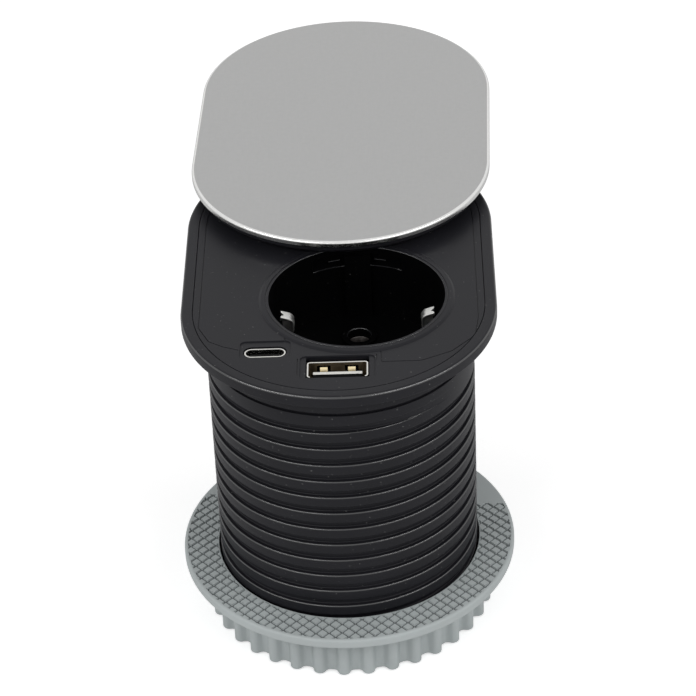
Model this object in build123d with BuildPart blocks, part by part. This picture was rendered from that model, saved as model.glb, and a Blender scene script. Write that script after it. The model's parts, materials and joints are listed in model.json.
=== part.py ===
import os

from build123d import *

os.makedirs("parts", exist_ok=True)

# Driving dimensions, in millimetres and degrees.
# The foot of the sleeve stands on z = 0 with its axis on the origin; the front faces -Y.

# Threaded sleeve
sleeve_margin = 10.2
thread_pitch = 4.35
thread_depth = 1.0
groove_width = 1.7
first_groove_height = 1.99
thread_end_drop = 3.695
sleeve_skin = 1.2
neck_height = 5.2
neck_line_width = 0.7
neck_line_depth = 0.6

# Flange with the plate that is let into it
flange_overhang = 5.1
flange_span = 33.7
flange_thickness = 2.8
flange_edge_radius = 0.7
flange_rim = 2.6
plate_thickness = 1.2
plate_gap = 0.12

# Socket well
socket_x = 4.0
socket_y = 2.9
socket_radius = 19.5
socket_depth = 17.5
well_wall = 1.5
well_floor = 2.0
lip_overhang = 0.7
lip_height = 0.5
lip_edge_radius = 0.4
snap_height = 0.9
snap_overhang = 0.8
guide_rib_width = 5.8
guide_rib_depth = 1.2
guide_rib_drop = 1.2
side_recess_width = 7.2
side_recess_height = 3.1
side_recess_depth = 0.7

# Contacts under the well
pin_spacing = 19.0
pin_hole_radius = 2.7
pin_boss_radius = 4.0
pin_boss_height = 0.8
contact_radius = 3.4
contact_wall = 0.95
contact_collar = 1.0
contact_lug_length = 4.0
contact_slit_width = 0.7
contact_slit_length = 8.0
contact_base_margin = 2.5
contact_base_height = 12.0
strap_width = 8.0
strap_thickness = 0.8
strap_tab_height = 3.0
clip_width = 2.8
clip_lean = 5.0
clip_rise = 8.4
clip_stand = 2.9
clip_tip_back = 2.6
clip_tip_rise = 0.8
clip_bend_radius = 1.2
clip_window_margin = 0.5
clip_window_top = 2.7

# Charging ports
port_setback = 0.3
port_depth = 12.0
port_base_depth = 3.0
type_a_contact_length = 6.0
port_wall = 0.35
port_window_gap = 0.25
surround_corner_radius = 1.2
surround_depth = 0.4
type_a_x = -0.1
type_a_margin = 0.65
type_a_width = 13.1
type_a_height = 5.7
type_a_surround_width = 16.5
type_a_surround_height = 7.2
type_a_tongue_width = 10.6
type_a_tongue_thickness = 1.8
type_a_tongue_gap = 2.1
type_a_tongue_chamfer = 1.0
type_a_tongue_setback = 0.9
type_a_contact_width = 1.2
type_a_contact_pitch = 2.4
type_a_contact_thickness = 0.3
type_c_inset = 4.178
type_c_angle = 227.52
type_c_width = 8.95
type_c_height = 3.25
type_c_surround_width = 10.8
type_c_surround_height = 6.2
type_c_surround_shift = 0.7
type_c_tongue_width = 6.7
type_c_tongue_thickness = 0.7
type_c_tongue_setback = 0.6

# Boards and electronic parts
board_thickness = 1.6
port_board_margin = 0.7
port_board_rear_inset = 21.5
port_post_radius = 1.5
port_post_inset = 3.267
port_post_gap = 0.85
charger_board_margin = 3.5
charger_board_height = 28.0
electronics_room = 17.4
transformer_size = (16.0, 14.0, 11.0)
transformer_place = (-7.5, -3.0)
transformer_core_height = 7.0
transformer_core_margin = 1.5
bulk_capacitor_radius = 5.0
bulk_capacitor_headroom = 1.9
bulk_capacitor_place = (6.0, 11.0)
output_capacitor_radius = 3.15
output_capacitor_height = 9.0
output_capacitor_place = (10.0, -9.0)
output_capacitor_pitch = 8.0
controller_size = (8.0, 6.0, 2.0)
controller_place = (11.0, -1.0)

# Base cap with cord inlet, clamp and terminals
base_cap_thickness = 3.0
cap_gap = 0.15
cap_post_radius = 2.5
cap_post_inset = 6.5
sleeve_boss_radius = 3.4
sleeve_boss_inset = 2.7
sleeve_boss_height = 11.0
gland_bore_radius = 4.1
gland_radius = 7.5
gland_height = 14.0
gland_collar_radius = 9.5
gland_collar_thickness = 2.0
clamp_bar_length = 29.0
clamp_bar_width = 7.0
clamp_bar_thickness = 2.5
clamp_post_spacing = 24.0
clamp_eye_radius = 6.5
clamp_post_radius = 2.2
clamp_bar_lift = 0.5
terminal_length = 22.0
terminal_height = 10.0
terminal_gap = 0.5
terminal_boss_gap = 1.4
terminal_pitch = 7.0
terminal_hole_radius = 1.6
terminal_hole_depth = 4.0

# Screws
screw_radius = 1.1
screw_head_radius = 2.1
screw_head_height = 1.3
screw_length = 7.0
screw_hole_gap = 0.05

# Lid and its pivot
lid_plate_height = 1.3
lid_plate_skin = 0.5
lid_edge_radius = 0.5
lid_carrier_thickness = 2.6
lid_carrier_inset = 0.9
lid_carrier_chamfer = 1.2
lid_gap = 0.8
lid_open_angle = 178.0
pivot_offset = 9.6
pivot_radius = 3.0
pivot_head_radius = 7.0
pivot_head_thickness = 0.7
pivot_pocket_depth = 0.9
bush_radius = 4.6
pivot_clearance = 0.05
washer_radius = 6.0
spring_washer_thickness = 0.16
lid_screw_radius = 1.5
lid_screw_head_radius = 2.8
lid_screw_length = 5.0
peg_radius = 0.9
peg_circle = 9.5
peg_side_clearance = 0.2
peg_tip_clearance = 0.3

# Clamping nut with its grip ring
nut_height = 14.5
nut_bore_clearance = 0.4
grip_ring_reach = 8.5
grip_ring_thickness = 2.4
grip_ring_edge_radius = 0.6
spigot_margin = 3.2
spigot_height = 1.2
ring_clearance = 0.05
lobe_count = 36
lobe_start_angle = 7.2
nut_wall = 3.0
lobe_depth = 1.8
lobe_radius = 1.5
lobe_root_radius = 1.0
nut_rib_turns = 0.9
nut_rib_side_clearance = 0.3
nut_rib_tip_clearance = 0.25
nut_rib_root_sink = 0.3

# Shared values
cut_overrun = 1.0
fit_gap = 0.1

# Sizes and places that follow
body_height = (
    charger_board_height + board_thickness + electronics_room + contact_base_height + well_floor + socket_depth
)
sleeve_radius = socket_radius + sleeve_margin
flange_half_width = sleeve_radius + flange_overhang
flange_bottom = body_height - flange_thickness
plate_bottom = body_height - plate_thickness
sleeve_bore = sleeve_radius - thread_depth - sleeve_skin
thread_root = sleeve_radius - thread_depth
recess_half_width = flange_half_width - flange_rim
floor_height = body_height - socket_depth
thread_bottom = first_groove_height - thread_pitch
neck_bottom = flange_bottom - neck_height
spigot_bottom = neck_bottom - neck_line_width
thread_top = neck_bottom - thread_end_drop
well_bottom = floor_height - well_floor
well_radius = socket_radius + well_wall
lip_radius = well_radius + lip_overhang
contact_base_radius = socket_radius - contact_base_margin
contact_base_bottom = well_bottom - contact_base_height
clip_reach = socket_radius - clip_lean
port_top = body_height - port_setback
port_bottom = port_top - port_depth
port_board_bottom = port_bottom - board_thickness
board_top = charger_board_height + board_thickness
charger_board_radius = sleeve_bore - charger_board_margin
cap_post_ring = sleeve_bore - cap_post_inset
sleeve_boss_ring = sleeve_bore - sleeve_boss_inset
terminal_front = gland_collar_radius + terminal_gap
terminal_depth = sleeve_boss_ring - sleeve_boss_radius - terminal_boss_gap - terminal_front
terminal_y = terminal_front + terminal_depth / 2
bulk_capacitor_height = electronics_room - contact_lug_length - bulk_capacitor_headroom
lid_carrier_bottom = body_height + lid_gap
lid_plate_bottom = lid_carrier_bottom + lid_carrier_thickness
lid_pad_top = lid_plate_bottom + lid_plate_height - lid_plate_skin
ring_bottom = nut_height - grip_ring_thickness
grip_ring_radius = sleeve_radius + grip_ring_reach
spigot_radius = grip_ring_radius - spigot_margin
nut_bore = sleeve_radius + nut_bore_clearance
lobe_crest_radius = nut_bore + nut_wall
pivot_y = flange_span + pivot_offset
type_a_y = type_a_height / 2 + type_a_margin - sleeve_bore
socket_plane = Plane((socket_x, socket_y, 0))
type_a_plane = Plane((type_a_x, type_a_y, 0))
type_c_place = Vector(sleeve_bore - type_c_inset, 0, 0).rotate(Axis.Z, type_c_angle)
type_c_plane = Plane(type_c_place)
port_post_ring = sleeve_bore - port_post_inset
port_post_near = type_a_width / 2 + port_post_gap + port_post_radius - type_a_x
port_post_far = (port_post_ring**2 - port_post_near**2) ** 0.5
port_post_places = [(-port_post_near, -port_post_far), (-port_post_far, -port_post_near)]
pivot_plane = Plane((0, pivot_y, 0))


def lid_plane(height):
    # the lid is drawn as it lies when shut, about its pivot, and turned to its open place
    return Plane((0, pivot_y, height)).rotated((0, 0, lid_open_angle))


def flange_shape(half_width):
    # a slot shape whose front end is concentric with the sleeve
    with Locations((0, flange_span / 2)):
        SlotCenterToCenter(flange_span, 2 * half_width, rotation=90)


def lid_shape(half_width):
    # the flange's outline, seen from the pivot
    with Locations((0, flange_span / 2 - pivot_y)):
        SlotCenterToCenter(flange_span, 2 * half_width, rotation=90)


def save(piece, name):
    piece.part.label = name
    export_step(piece.part, f"parts/{name}.step")


# Threaded sleeve: coarse helical groove run out at the foot, short spigot that takes the flange's neck
with BuildPart() as threaded_sleeve:
    with BuildSketch():
        Circle(sleeve_radius)
    extrude(amount=spigot_bottom)
    with BuildSketch():
        Circle(sleeve_radius - neck_line_depth)
    extrude(amount=neck_bottom)
    with BuildSketch():
        Circle(sleeve_bore)
    extrude(amount=neck_bottom, mode=Mode.SUBTRACT)
    # relief behind the two port shells
    with BuildSketch(type_a_plane.offset(port_board_bottom)):
        RectangleRounded(type_a_width + 2 * port_window_gap, type_a_height + 2 * port_window_gap, port_window_gap)
    extrude(amount=neck_bottom - port_board_bottom, mode=Mode.SUBTRACT)
    with BuildSketch(type_c_plane.offset(port_board_bottom)):
        RectangleRounded(type_c_width + 2 * port_window_gap, type_c_height + 2 * port_window_gap, port_window_gap)
    extrude(amount=neck_bottom - port_board_bottom, mode=Mode.SUBTRACT)
    # bosses that take the base screws, run into the wall
    with BuildSketch(Plane.XY.offset(base_cap_thickness)):
        with PolarLocations(sleeve_boss_ring, 3, start_angle=90):
            Circle(sleeve_boss_radius)
        Circle(sleeve_bore + sleeve_skin / 2, mode=Mode.INTERSECT)
    extrude(amount=sleeve_boss_height)
    with BuildSketch(Plane.XY.offset(base_cap_thickness)):
        with PolarLocations(sleeve_boss_ring, 3, start_angle=90):
            Circle(screw_radius + screw_hole_gap)
    extrude(amount=screw_length, mode=Mode.SUBTRACT)
    with BuildLine(Plane.XY.offset(thread_bottom)) as groove_path:
        Helix(thread_pitch, thread_top - thread_bottom, thread_root)
    with BuildSketch(Plane.XZ) as groove_profile:
        with Locations((thread_root + thread_depth, thread_bottom)):
            Rectangle(2 * thread_depth, groove_width)
    sweep(path=groove_path.wires()[0], is_frenet=True, mode=Mode.SUBTRACT)
save(threaded_sleeve, "threaded_sleeve")

# Flange with the smooth neck that stands on the sleeve: recess for the plate, seat of the lid pivot
with BuildPart() as flange:
    with BuildSketch(Plane.XY.offset(flange_bottom)):
        flange_shape(flange_half_width)
    extrude(amount=flange_thickness)
    fillet(flange.edges().group_by(Axis.Z)[-1], flange_edge_radius)
    with BuildSketch(Plane.XY.offset(body_height)):
        flange_shape(recess_half_width)
    extrude(amount=-plate_thickness, mode=Mode.SUBTRACT)
    with BuildSketch(Plane.XY.offset(neck_bottom)):
        Circle(sleeve_radius)
    extrude(amount=neck_height)
    with BuildSketch(Plane.XY.offset(neck_bottom)):
        Circle(sleeve_bore)
    extrude(amount=body_height - neck_bottom, mode=Mode.SUBTRACT)
    with BuildSketch(type_a_plane.offset(neck_bottom)):
        RectangleRounded(type_a_width + 2 * port_window_gap, type_a_height + 2 * port_window_gap, port_window_gap)
    extrude(amount=body_height - neck_bottom, mode=Mode.SUBTRACT)
    with BuildSketch(type_c_plane.offset(neck_bottom)):
        RectangleRounded(type_c_width + 2 * port_window_gap, type_c_height + 2 * port_window_gap, port_window_gap)
    extrude(amount=body_height - neck_bottom, mode=Mode.SUBTRACT)
    # pocket for the pivot's head below, hole for its bush above
    with BuildSketch(pivot_plane.offset(flange_bottom)):
        Circle(pivot_head_radius + fit_gap)
    extrude(amount=pivot_pocket_depth, mode=Mode.SUBTRACT)
    with BuildSketch(pivot_plane.offset(flange_bottom)):
        Circle(bush_radius + pivot_clearance)
    extrude(amount=flange_thickness, mode=Mode.SUBTRACT)
save(flange, "flange")

# Face plate with the well's bore, both port windows, the pivot hole and the lid's stop slot
with BuildPart() as face_plate:
    with BuildSketch(Plane.XY.offset(plate_bottom)):
        flange_shape(recess_half_width - plate_gap)
        with Locations((socket_x, socket_y)):
            Circle(well_radius + fit_gap, mode=Mode.SUBTRACT)
        with Locations((0, pivot_y)):
            Circle(bush_radius + pivot_clearance, mode=Mode.SUBTRACT)
    extrude(amount=plate_thickness)
    with BuildSketch(type_a_plane.offset(body_height)):
        RectangleRounded(type_a_surround_width, type_a_surround_height, surround_corner_radius)
    extrude(amount=-surround_depth, mode=Mode.SUBTRACT)
    with BuildSketch(type_a_plane.offset(body_height)):
        Rectangle(type_a_width + 2 * port_window_gap, type_a_height + 2 * port_window_gap)
    extrude(amount=-plate_thickness, mode=Mode.SUBTRACT)
    with BuildSketch(type_c_plane.offset(body_height)):
        with Locations((0, type_c_surround_shift)):
            RectangleRounded(type_c_surround_width, type_c_surround_height, surround_corner_radius)
    extrude(amount=-surround_depth, mode=Mode.SUBTRACT)
    with BuildSketch(type_c_plane.offset(body_height)):
        SlotOverall(type_c_width + 2 * port_window_gap, type_c_height + 2 * port_window_gap)
    extrude(amount=-plate_thickness, mode=Mode.SUBTRACT)
    # stop slot: a half circle round the pivot, at the rear
    with BuildSketch(pivot_plane.offset(plate_bottom)):
        with BuildLine() as slot_line:
            CenterArc((0, 0), peg_circle, 0, 180)
        SlotArc(slot_line.edges()[0], 2 * (peg_radius + peg_side_clearance))
    extrude(amount=plate_thickness, mode=Mode.SUBTRACT)
    # posts that carry the port board
    with BuildSketch(Plane.XY.offset(port_bottom)):
        with Locations(*port_post_places):
            Circle(port_post_radius)
    extrude(amount=plate_bottom - port_bottom)
    with BuildSketch(Plane.XY.offset(port_bottom)):
        with Locations(*port_post_places):
            Circle(screw_radius / 2 + screw_hole_gap)
    extrude(amount=screw_length - board_thickness, mode=Mode.SUBTRACT)
save(face_plate, "face_plate")

# Round well: raised lip, snap collar, guide ribs front and rear, side recesses, clip windows
with BuildPart() as socket_well:
    with BuildSketch(socket_plane.offset(well_bottom)):
        Circle(well_radius)
    extrude(amount=socket_depth + well_floor)
    with BuildSketch(socket_plane.offset(plate_bottom)):
        Circle(well_radius + snap_overhang)
    extrude(amount=-snap_height)
    with BuildSketch(socket_plane.offset(body_height)):
        Circle(lip_radius)
    extrude(amount=lip_height)
    with BuildSketch(socket_plane.offset(floor_height)):
        Circle(socket_radius)
    extrude(amount=socket_depth + lip_height, mode=Mode.SUBTRACT)
    fillet(socket_well.edges().group_by(Axis.Z)[-1], lip_edge_radius)
    with BuildSketch(socket_plane.offset(floor_height)):
        Circle(socket_radius + well_wall / 2)
        Circle(socket_radius - guide_rib_depth, mode=Mode.SUBTRACT)
        Rectangle(guide_rib_width, 2 * well_radius, mode=Mode.INTERSECT)
    extrude(amount=socket_depth - guide_rib_drop)
    with BuildSketch(socket_plane.offset(body_height - guide_rib_drop)):
        with GridLocations(guide_rib_width + side_recess_width, 0, 2, 1):
            Rectangle(side_recess_width, 2 * well_radius)
        Circle(socket_radius + side_recess_depth, mode=Mode.INTERSECT)
        Circle(socket_radius - guide_rib_depth, mode=Mode.SUBTRACT)
    extrude(amount=-side_recess_height, mode=Mode.SUBTRACT)
    with BuildSketch(socket_plane.offset(floor_height)):
        Rectangle(2 * (well_radius + cut_overrun), clip_width + 2 * clip_window_margin)
        Circle(socket_radius - cut_overrun, mode=Mode.SUBTRACT)
    extrude(amount=socket_depth - clip_window_top, mode=Mode.SUBTRACT)
    with BuildSketch(socket_plane.offset(floor_height)):
        with GridLocations(0, pin_spacing, 1, 2):
            Circle(pin_boss_radius)
    extrude(amount=pin_boss_height)
    with BuildSketch(socket_plane.offset(well_bottom)):
        with GridLocations(0, pin_spacing, 1, 2):
            Circle(pin_hole_radius)
    extrude(amount=well_floor + pin_boss_height, mode=Mode.SUBTRACT)
save(socket_well, "socket_well")

# Insulating block under the well that holds the two pin contacts and the earth strap
with BuildPart() as contact_base:
    with BuildSketch(socket_plane.offset(contact_base_bottom)):
        Circle(contact_base_radius)
        with GridLocations(0, pin_spacing, 1, 2):
            Circle(contact_radius + fit_gap, mode=Mode.SUBTRACT)
    extrude(amount=contact_base_height)
    with BuildSketch(socket_plane.offset(well_bottom)):
        Rectangle(2 * contact_base_radius, strap_width + 2 * fit_gap)
    extrude(amount=-strap_thickness - fit_gap, mode=Mode.SUBTRACT)
save(contact_base, "contact_base")


def pin_contact(centre_y):
    # a slit brass socket with a collar that bears on the underside of its block
    place = Plane((socket_x, socket_y + centre_y, 0))
    slit_bottom = well_bottom - fit_gap - contact_slit_length
    with BuildPart() as contact:
        with BuildSketch(place.offset(contact_base_bottom)):
            Circle(contact_radius)
        extrude(amount=contact_base_height - fit_gap)
        with BuildSketch(place.offset(contact_base_bottom)):
            Circle(contact_radius + contact_collar)
        extrude(amount=-contact_collar)
        with BuildSketch(place.offset(contact_base_bottom - contact_collar)):
            Rectangle(contact_radius, contact_collar)
        extrude(amount=-contact_lug_length + contact_collar)
        with BuildSketch(place.offset(contact_base_bottom)):
            Circle(contact_radius - contact_wall)
        extrude(amount=contact_base_height, mode=Mode.SUBTRACT)
        with BuildSketch(place.offset(slit_bottom)):
            Rectangle(2 * contact_radius + cut_overrun, contact_slit_width)
        extrude(amount=contact_slit_length, mode=Mode.SUBTRACT)
    return contact


save(pin_contact(-pin_spacing / 2), "pin_contact_front")
save(pin_contact(pin_spacing / 2), "pin_contact_rear")

# Earth strap: a strip below the well with a tab turned up at each end
tab_middle = well_radius + fit_gap + strap_thickness / 2
with BuildPart() as earth_strap:
    with BuildSketch(socket_plane.offset(well_bottom)):
        Rectangle(2 * tab_middle + strap_thickness, strap_width)
    extrude(amount=-strap_thickness)
    with BuildSketch(socket_plane.offset(well_bottom)):
        with GridLocations(2 * tab_middle, 0, 2, 1):
            Rectangle(strap_thickness, strap_width)
    extrude(amount=strap_tab_height)
save(earth_strap, "earth_strap")

clip_foot = well_bottom + strap_tab_height + fit_gap


def earth_clip(side):
    # a sprung leaf that leans into the well, stands upright there and turns back at its tip
    tip_x = clip_reach + clip_tip_back
    hinge_height = clip_foot + strap_thickness / 2
    low_bend = clip_foot + strap_tab_height
    middle_bend = clip_foot + clip_rise
    top_bend = middle_bend + clip_stand
    with BuildPart() as clip:
        with BuildSketch(Plane((socket_x, socket_y, 0), x_dir=(1, 0, 0), z_dir=(0, -1, 0))):
            with BuildLine() as leaf:
                Polyline(
                    (side * tab_middle, hinge_height),
                    (side * tab_middle, low_bend),
                    (side * clip_reach, middle_bend),
                    (side * clip_reach, top_bend),
                    (side * tip_x, top_bend + clip_tip_rise),
                )
                fillet(leaf.vertices().sort_by(Axis.Y)[1:4], clip_bend_radius)
            trace(line_width=strap_thickness)
            with Locations((side * tab_middle, hinge_height)):
                Circle(strap_thickness / 2)
        extrude(amount=clip_width / 2, both=True)
    return clip


save(earth_clip(-1), "earth_clip_left")
save(earth_clip(1), "earth_clip_right")

# Rectangular charging port: folded shell, tongue and four contact strips
type_a_inner_height = type_a_height - 2 * port_wall
tongue_y = type_a_inner_height / 2 - type_a_tongue_gap - type_a_tongue_thickness / 2
with BuildPart() as type_a_shell:
    with BuildSketch(type_a_plane.offset(port_bottom)):
        RectangleRounded(type_a_width, type_a_height, 2 * port_wall)
        RectangleRounded(type_a_width - 2 * port_wall, type_a_inner_height, port_wall, mode=Mode.SUBTRACT)
    extrude(amount=port_depth)
    with BuildSketch(type_a_plane.offset(port_bottom)):
        Rectangle(type_a_width - port_wall, type_a_height - port_wall)
    extrude(amount=port_wall)
save(type_a_shell, "type_a_shell")

with BuildPart() as type_a_tongue:
    with BuildSketch(type_a_plane.offset(port_bottom + port_wall)):
        Rectangle(type_a_width - 2 * port_wall - 2 * fit_gap, type_a_inner_height - 2 * fit_gap)
    extrude(amount=port_base_depth)
    with BuildSketch(type_a_plane.offset(port_bottom + port_wall)):
        with Locations((0, tongue_y)):
            Rectangle(type_a_tongue_width, type_a_tongue_thickness)
    extrude(amount=port_depth - port_wall - type_a_tongue_setback)
    tip_edges = type_a_tongue.edges().group_by(Axis.Z)[-1].filter_by(Axis.X)
    chamfer(tip_edges.sort_by(Axis.Y)[0], type_a_tongue_chamfer)
save(type_a_tongue, "type_a_tongue")

with BuildPart() as type_a_contacts:
    with BuildSketch(type_a_plane.offset(port_bottom + port_wall + port_base_depth)):
        with Locations((0, tongue_y - type_a_tongue_thickness / 2 - type_a_contact_thickness / 2)):
            with GridLocations(type_a_contact_pitch, 0, 4, 1):
                Rectangle(type_a_contact_width, type_a_contact_thickness)
    extrude(amount=type_a_contact_length)
save(type_a_contacts, "type_a_contacts")

# Small charging port: slot-shaped shell and centre tongue
with BuildPart() as type_c_shell:
    with BuildSketch(type_c_plane.offset(port_bottom)):
        SlotOverall(type_c_width, type_c_height)
        SlotOverall(type_c_width - 2 * port_wall, type_c_height - 2 * port_wall, mode=Mode.SUBTRACT)
    extrude(amount=port_depth)
    with BuildSketch(type_c_plane.offset(port_bottom)):
        SlotOverall(type_c_width - port_wall, type_c_height - port_wall)
    extrude(amount=port_wall)
save(type_c_shell, "type_c_shell")

with BuildPart() as type_c_tongue:
    with BuildSketch(type_c_plane.offset(port_bottom + port_wall)):
        SlotOverall(type_c_width - 2 * port_wall - 2 * fit_gap, type_c_height - 2 * port_wall - 2 * fit_gap)
    extrude(amount=port_base_depth)
    with BuildSketch(type_c_plane.offset(port_bottom + port_wall)):
        Rectangle(type_c_tongue_width, type_c_tongue_thickness)
    extrude(amount=port_depth - port_wall - type_c_tongue_setback)
save(type_c_tongue, "type_c_tongue")

# Crescent board below the ports, screwed to the face plate's posts
with BuildPart() as port_board:
    with BuildSketch(Plane.XY.offset(port_board_bottom)):
        Circle(sleeve_bore - port_board_margin)
        with Locations((socket_x, socket_y)):
            Circle(well_radius + port_board_margin, mode=Mode.SUBTRACT)
        with Locations((0, -sleeve_bore)):
            Rectangle(2 * sleeve_radius, 2 * port_board_rear_inset, mode=Mode.INTERSECT)
        with Locations(*port_post_places):
            Circle(screw_radius / 2 + screw_hole_gap, mode=Mode.SUBTRACT)
    extrude(amount=board_thickness)
save(port_board, "port_board")

with BuildPart() as port_board_screws:
    with BuildSketch(Plane.XY.offset(port_board_bottom)):
        with Locations(*port_post_places):
            Circle(screw_radius / 2)
    extrude(amount=screw_length)
    with BuildSketch(Plane.XY.offset(port_board_bottom)):
        with Locations(*port_post_places):
            Circle(screw_radius)
    extrude(amount=-screw_head_height)
save(port_board_screws, "port_board_screws")

# Round charger board on the base cap's posts, with the parts that stand on it
with BuildPart() as charger_board:
    with BuildSketch(Plane.XY.offset(charger_board_height)):
        Circle(charger_board_radius)
        with PolarLocations(cap_post_ring, 3, start_angle=30):
            Circle(screw_radius + screw_hole_gap, mode=Mode.SUBTRACT)
    extrude(amount=board_thickness)
save(charger_board, "charger_board")

with BuildPart() as transformer:
    with BuildSketch(Plane.XY.offset(board_top)):
        with Locations(transformer_place):
            Rectangle(transformer_size[0], transformer_size[1] - 2 * transformer_core_margin)
    extrude(amount=transformer_size[2])
    with BuildSketch(Plane.XY.offset(board_top + (transformer_size[2] - transformer_core_height) / 2)):
        with Locations(transformer_place):
            Rectangle(transformer_size[0] - 2 * transformer_core_margin, transformer_size[1])
    extrude(amount=transformer_core_height)
save(transformer, "transformer")

with BuildPart() as bulk_capacitor:
    with BuildSketch(Plane.XY.offset(board_top)):
        with Locations(bulk_capacitor_place):
            Circle(bulk_capacitor_radius)
    extrude(amount=bulk_capacitor_height)
save(bulk_capacitor, "bulk_capacitor")

with BuildPart() as output_capacitors:
    with BuildSketch(Plane.XY.offset(board_top)):
        with Locations(output_capacitor_place):
            with GridLocations(output_capacitor_pitch, 0, 2, 1):
                Circle(output_capacitor_radius)
    extrude(amount=output_capacitor_height)
save(output_capacitors, "output_capacitors")

with BuildPart() as charge_controller:
    with BuildSketch(Plane.XY.offset(board_top)):
        with Locations(controller_place):
            Rectangle(controller_size[0], controller_size[1])
    extrude(amount=controller_size[2])
save(charge_controller, "charge_controller")

# Base cap: closes the sleeve, carries the board posts, clamp posts and the cord gland
with BuildPart() as base_cap:
    with BuildSketch():
        Circle(sleeve_bore - cap_gap)
    extrude(amount=base_cap_thickness)
    with BuildSketch(Plane.XY.offset(base_cap_thickness)):
        with PolarLocations(cap_post_ring, 3, start_angle=30):
            Circle(cap_post_radius)
    extrude(amount=charger_board_height - base_cap_thickness)
    with BuildSketch(Plane.XY.offset(base_cap_thickness)):
        with GridLocations(clamp_post_spacing, 0, 2, 1):
            Circle(clamp_post_radius)
    extrude(amount=gland_height + clamp_bar_lift - base_cap_thickness)
    with BuildSketch():
        Circle(gland_radius + fit_gap)
        with PolarLocations(sleeve_boss_ring, 3, start_angle=90):
            Circle(screw_radius + screw_hole_gap)
    extrude(amount=base_cap_thickness, mode=Mode.SUBTRACT)
    with BuildSketch():
        with PolarLocations(sleeve_boss_ring, 3, start_angle=90):
            Circle(screw_head_radius + screw_hole_gap)
    extrude(amount=screw_head_height, mode=Mode.SUBTRACT)
    with BuildSketch(Plane.XY.offset(charger_board_height)):
        with PolarLocations(cap_post_ring, 3, start_angle=30):
            Circle(screw_radius + screw_hole_gap)
    extrude(amount=-screw_length, mode=Mode.SUBTRACT)
    with BuildSketch(Plane.XY.offset(gland_height + clamp_bar_lift)):
        with GridLocations(clamp_post_spacing, 0, 2, 1):
            Circle(screw_radius + screw_hole_gap)
    extrude(amount=-screw_length, mode=Mode.SUBTRACT)
save(base_cap, "base_cap")

with BuildPart() as base_screws:
    with BuildSketch():
        with PolarLocations(sleeve_boss_ring, 3, start_angle=90):
            Circle(screw_head_radius)
    extrude(amount=screw_head_height)
    with BuildSketch(Plane.XY.offset(screw_head_height)):
        with PolarLocations(sleeve_boss_ring, 3, start_angle=90):
            Circle(screw_radius)
    extrude(amount=screw_length)
save(base_screws, "base_screws")

with BuildPart() as charger_board_screws:
    with BuildSketch(Plane.XY.offset(board_top)):
        with PolarLocations(cap_post_ring, 3, start_angle=30):
            Circle(screw_head_radius)
    extrude(amount=screw_head_height)
    with BuildSketch(Plane.XY.offset(board_top)):
        with PolarLocations(cap_post_ring, 3, start_angle=30):
            Circle(screw_radius)
    extrude(amount=-screw_length)
save(charger_board_screws, "charger_board_screws")

# Cord gland: a bush through the cap with a collar inside
with BuildPart() as cable_gland:
    with BuildSketch():
        Circle(gland_radius)
    extrude(amount=gland_height)
    with BuildSketch(Plane.XY.offset(base_cap_thickness)):
        Circle(gland_collar_radius)
    extrude(amount=gland_collar_thickness)
    with BuildSketch():
        Circle(gland_bore_radius)
    extrude(amount=gland_height, mode=Mode.SUBTRACT)
save(cable_gland, "cable_gland")

with BuildPart() as cord_clamp:
    with BuildSketch(Plane.XY.offset(gland_height + clamp_bar_lift)):
        SlotOverall(clamp_bar_length, clamp_bar_width)
        Circle(clamp_eye_radius)
    extrude(amount=clamp_bar_thickness)
    with BuildSketch(Plane.XY.offset(gland_height + clamp_bar_lift)):
        Circle(gland_bore_radius)
        with GridLocations(clamp_post_spacing, 0, 2, 1):
            Circle(screw_radius + screw_hole_gap)
    extrude(amount=clamp_bar_thickness, mode=Mode.SUBTRACT)
save(cord_clamp, "cord_clamp")

with BuildPart() as cord_clamp_screws:
    clamp_top = gland_height + clamp_bar_lift + clamp_bar_thickness
    with BuildSketch(Plane.XY.offset(clamp_top)):
        with GridLocations(clamp_post_spacing, 0, 2, 1):
            Circle(screw_head_radius)
    extrude(amount=screw_head_height)
    with BuildSketch(Plane.XY.offset(clamp_top)):
        with GridLocations(clamp_post_spacing, 0, 2, 1):
            Circle(screw_radius)
    extrude(amount=-screw_length)
save(cord_clamp_screws, "cord_clamp_screws")

# Terminal block for the cord's three wires
with BuildPart() as terminal_block:
    with BuildSketch(Plane.XY.offset(base_cap_thickness)):
        with Locations((0, terminal_y)):
            Rectangle(terminal_length, terminal_depth)
    extrude(amount=terminal_height)
    with BuildSketch(Plane.XY.offset(base_cap_thickness + terminal_height)):
        with Locations((0, terminal_y)):
            with GridLocations(terminal_pitch, 0, 3, 1):
                Circle(terminal_hole_radius)
    extrude(amount=-terminal_hole_depth, mode=Mode.SUBTRACT)
save(terminal_block, "terminal_block")

with BuildPart() as terminal_screws:
    with BuildSketch(Plane.XY.offset(base_cap_thickness + terminal_height - terminal_hole_depth)):
        with Locations((0, terminal_y)):
            with GridLocations(terminal_pitch, 0, 3, 1):
                Circle(terminal_hole_radius - screw_hole_gap)
    extrude(amount=terminal_hole_depth / 2)
save(terminal_screws, "terminal_screws")

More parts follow.
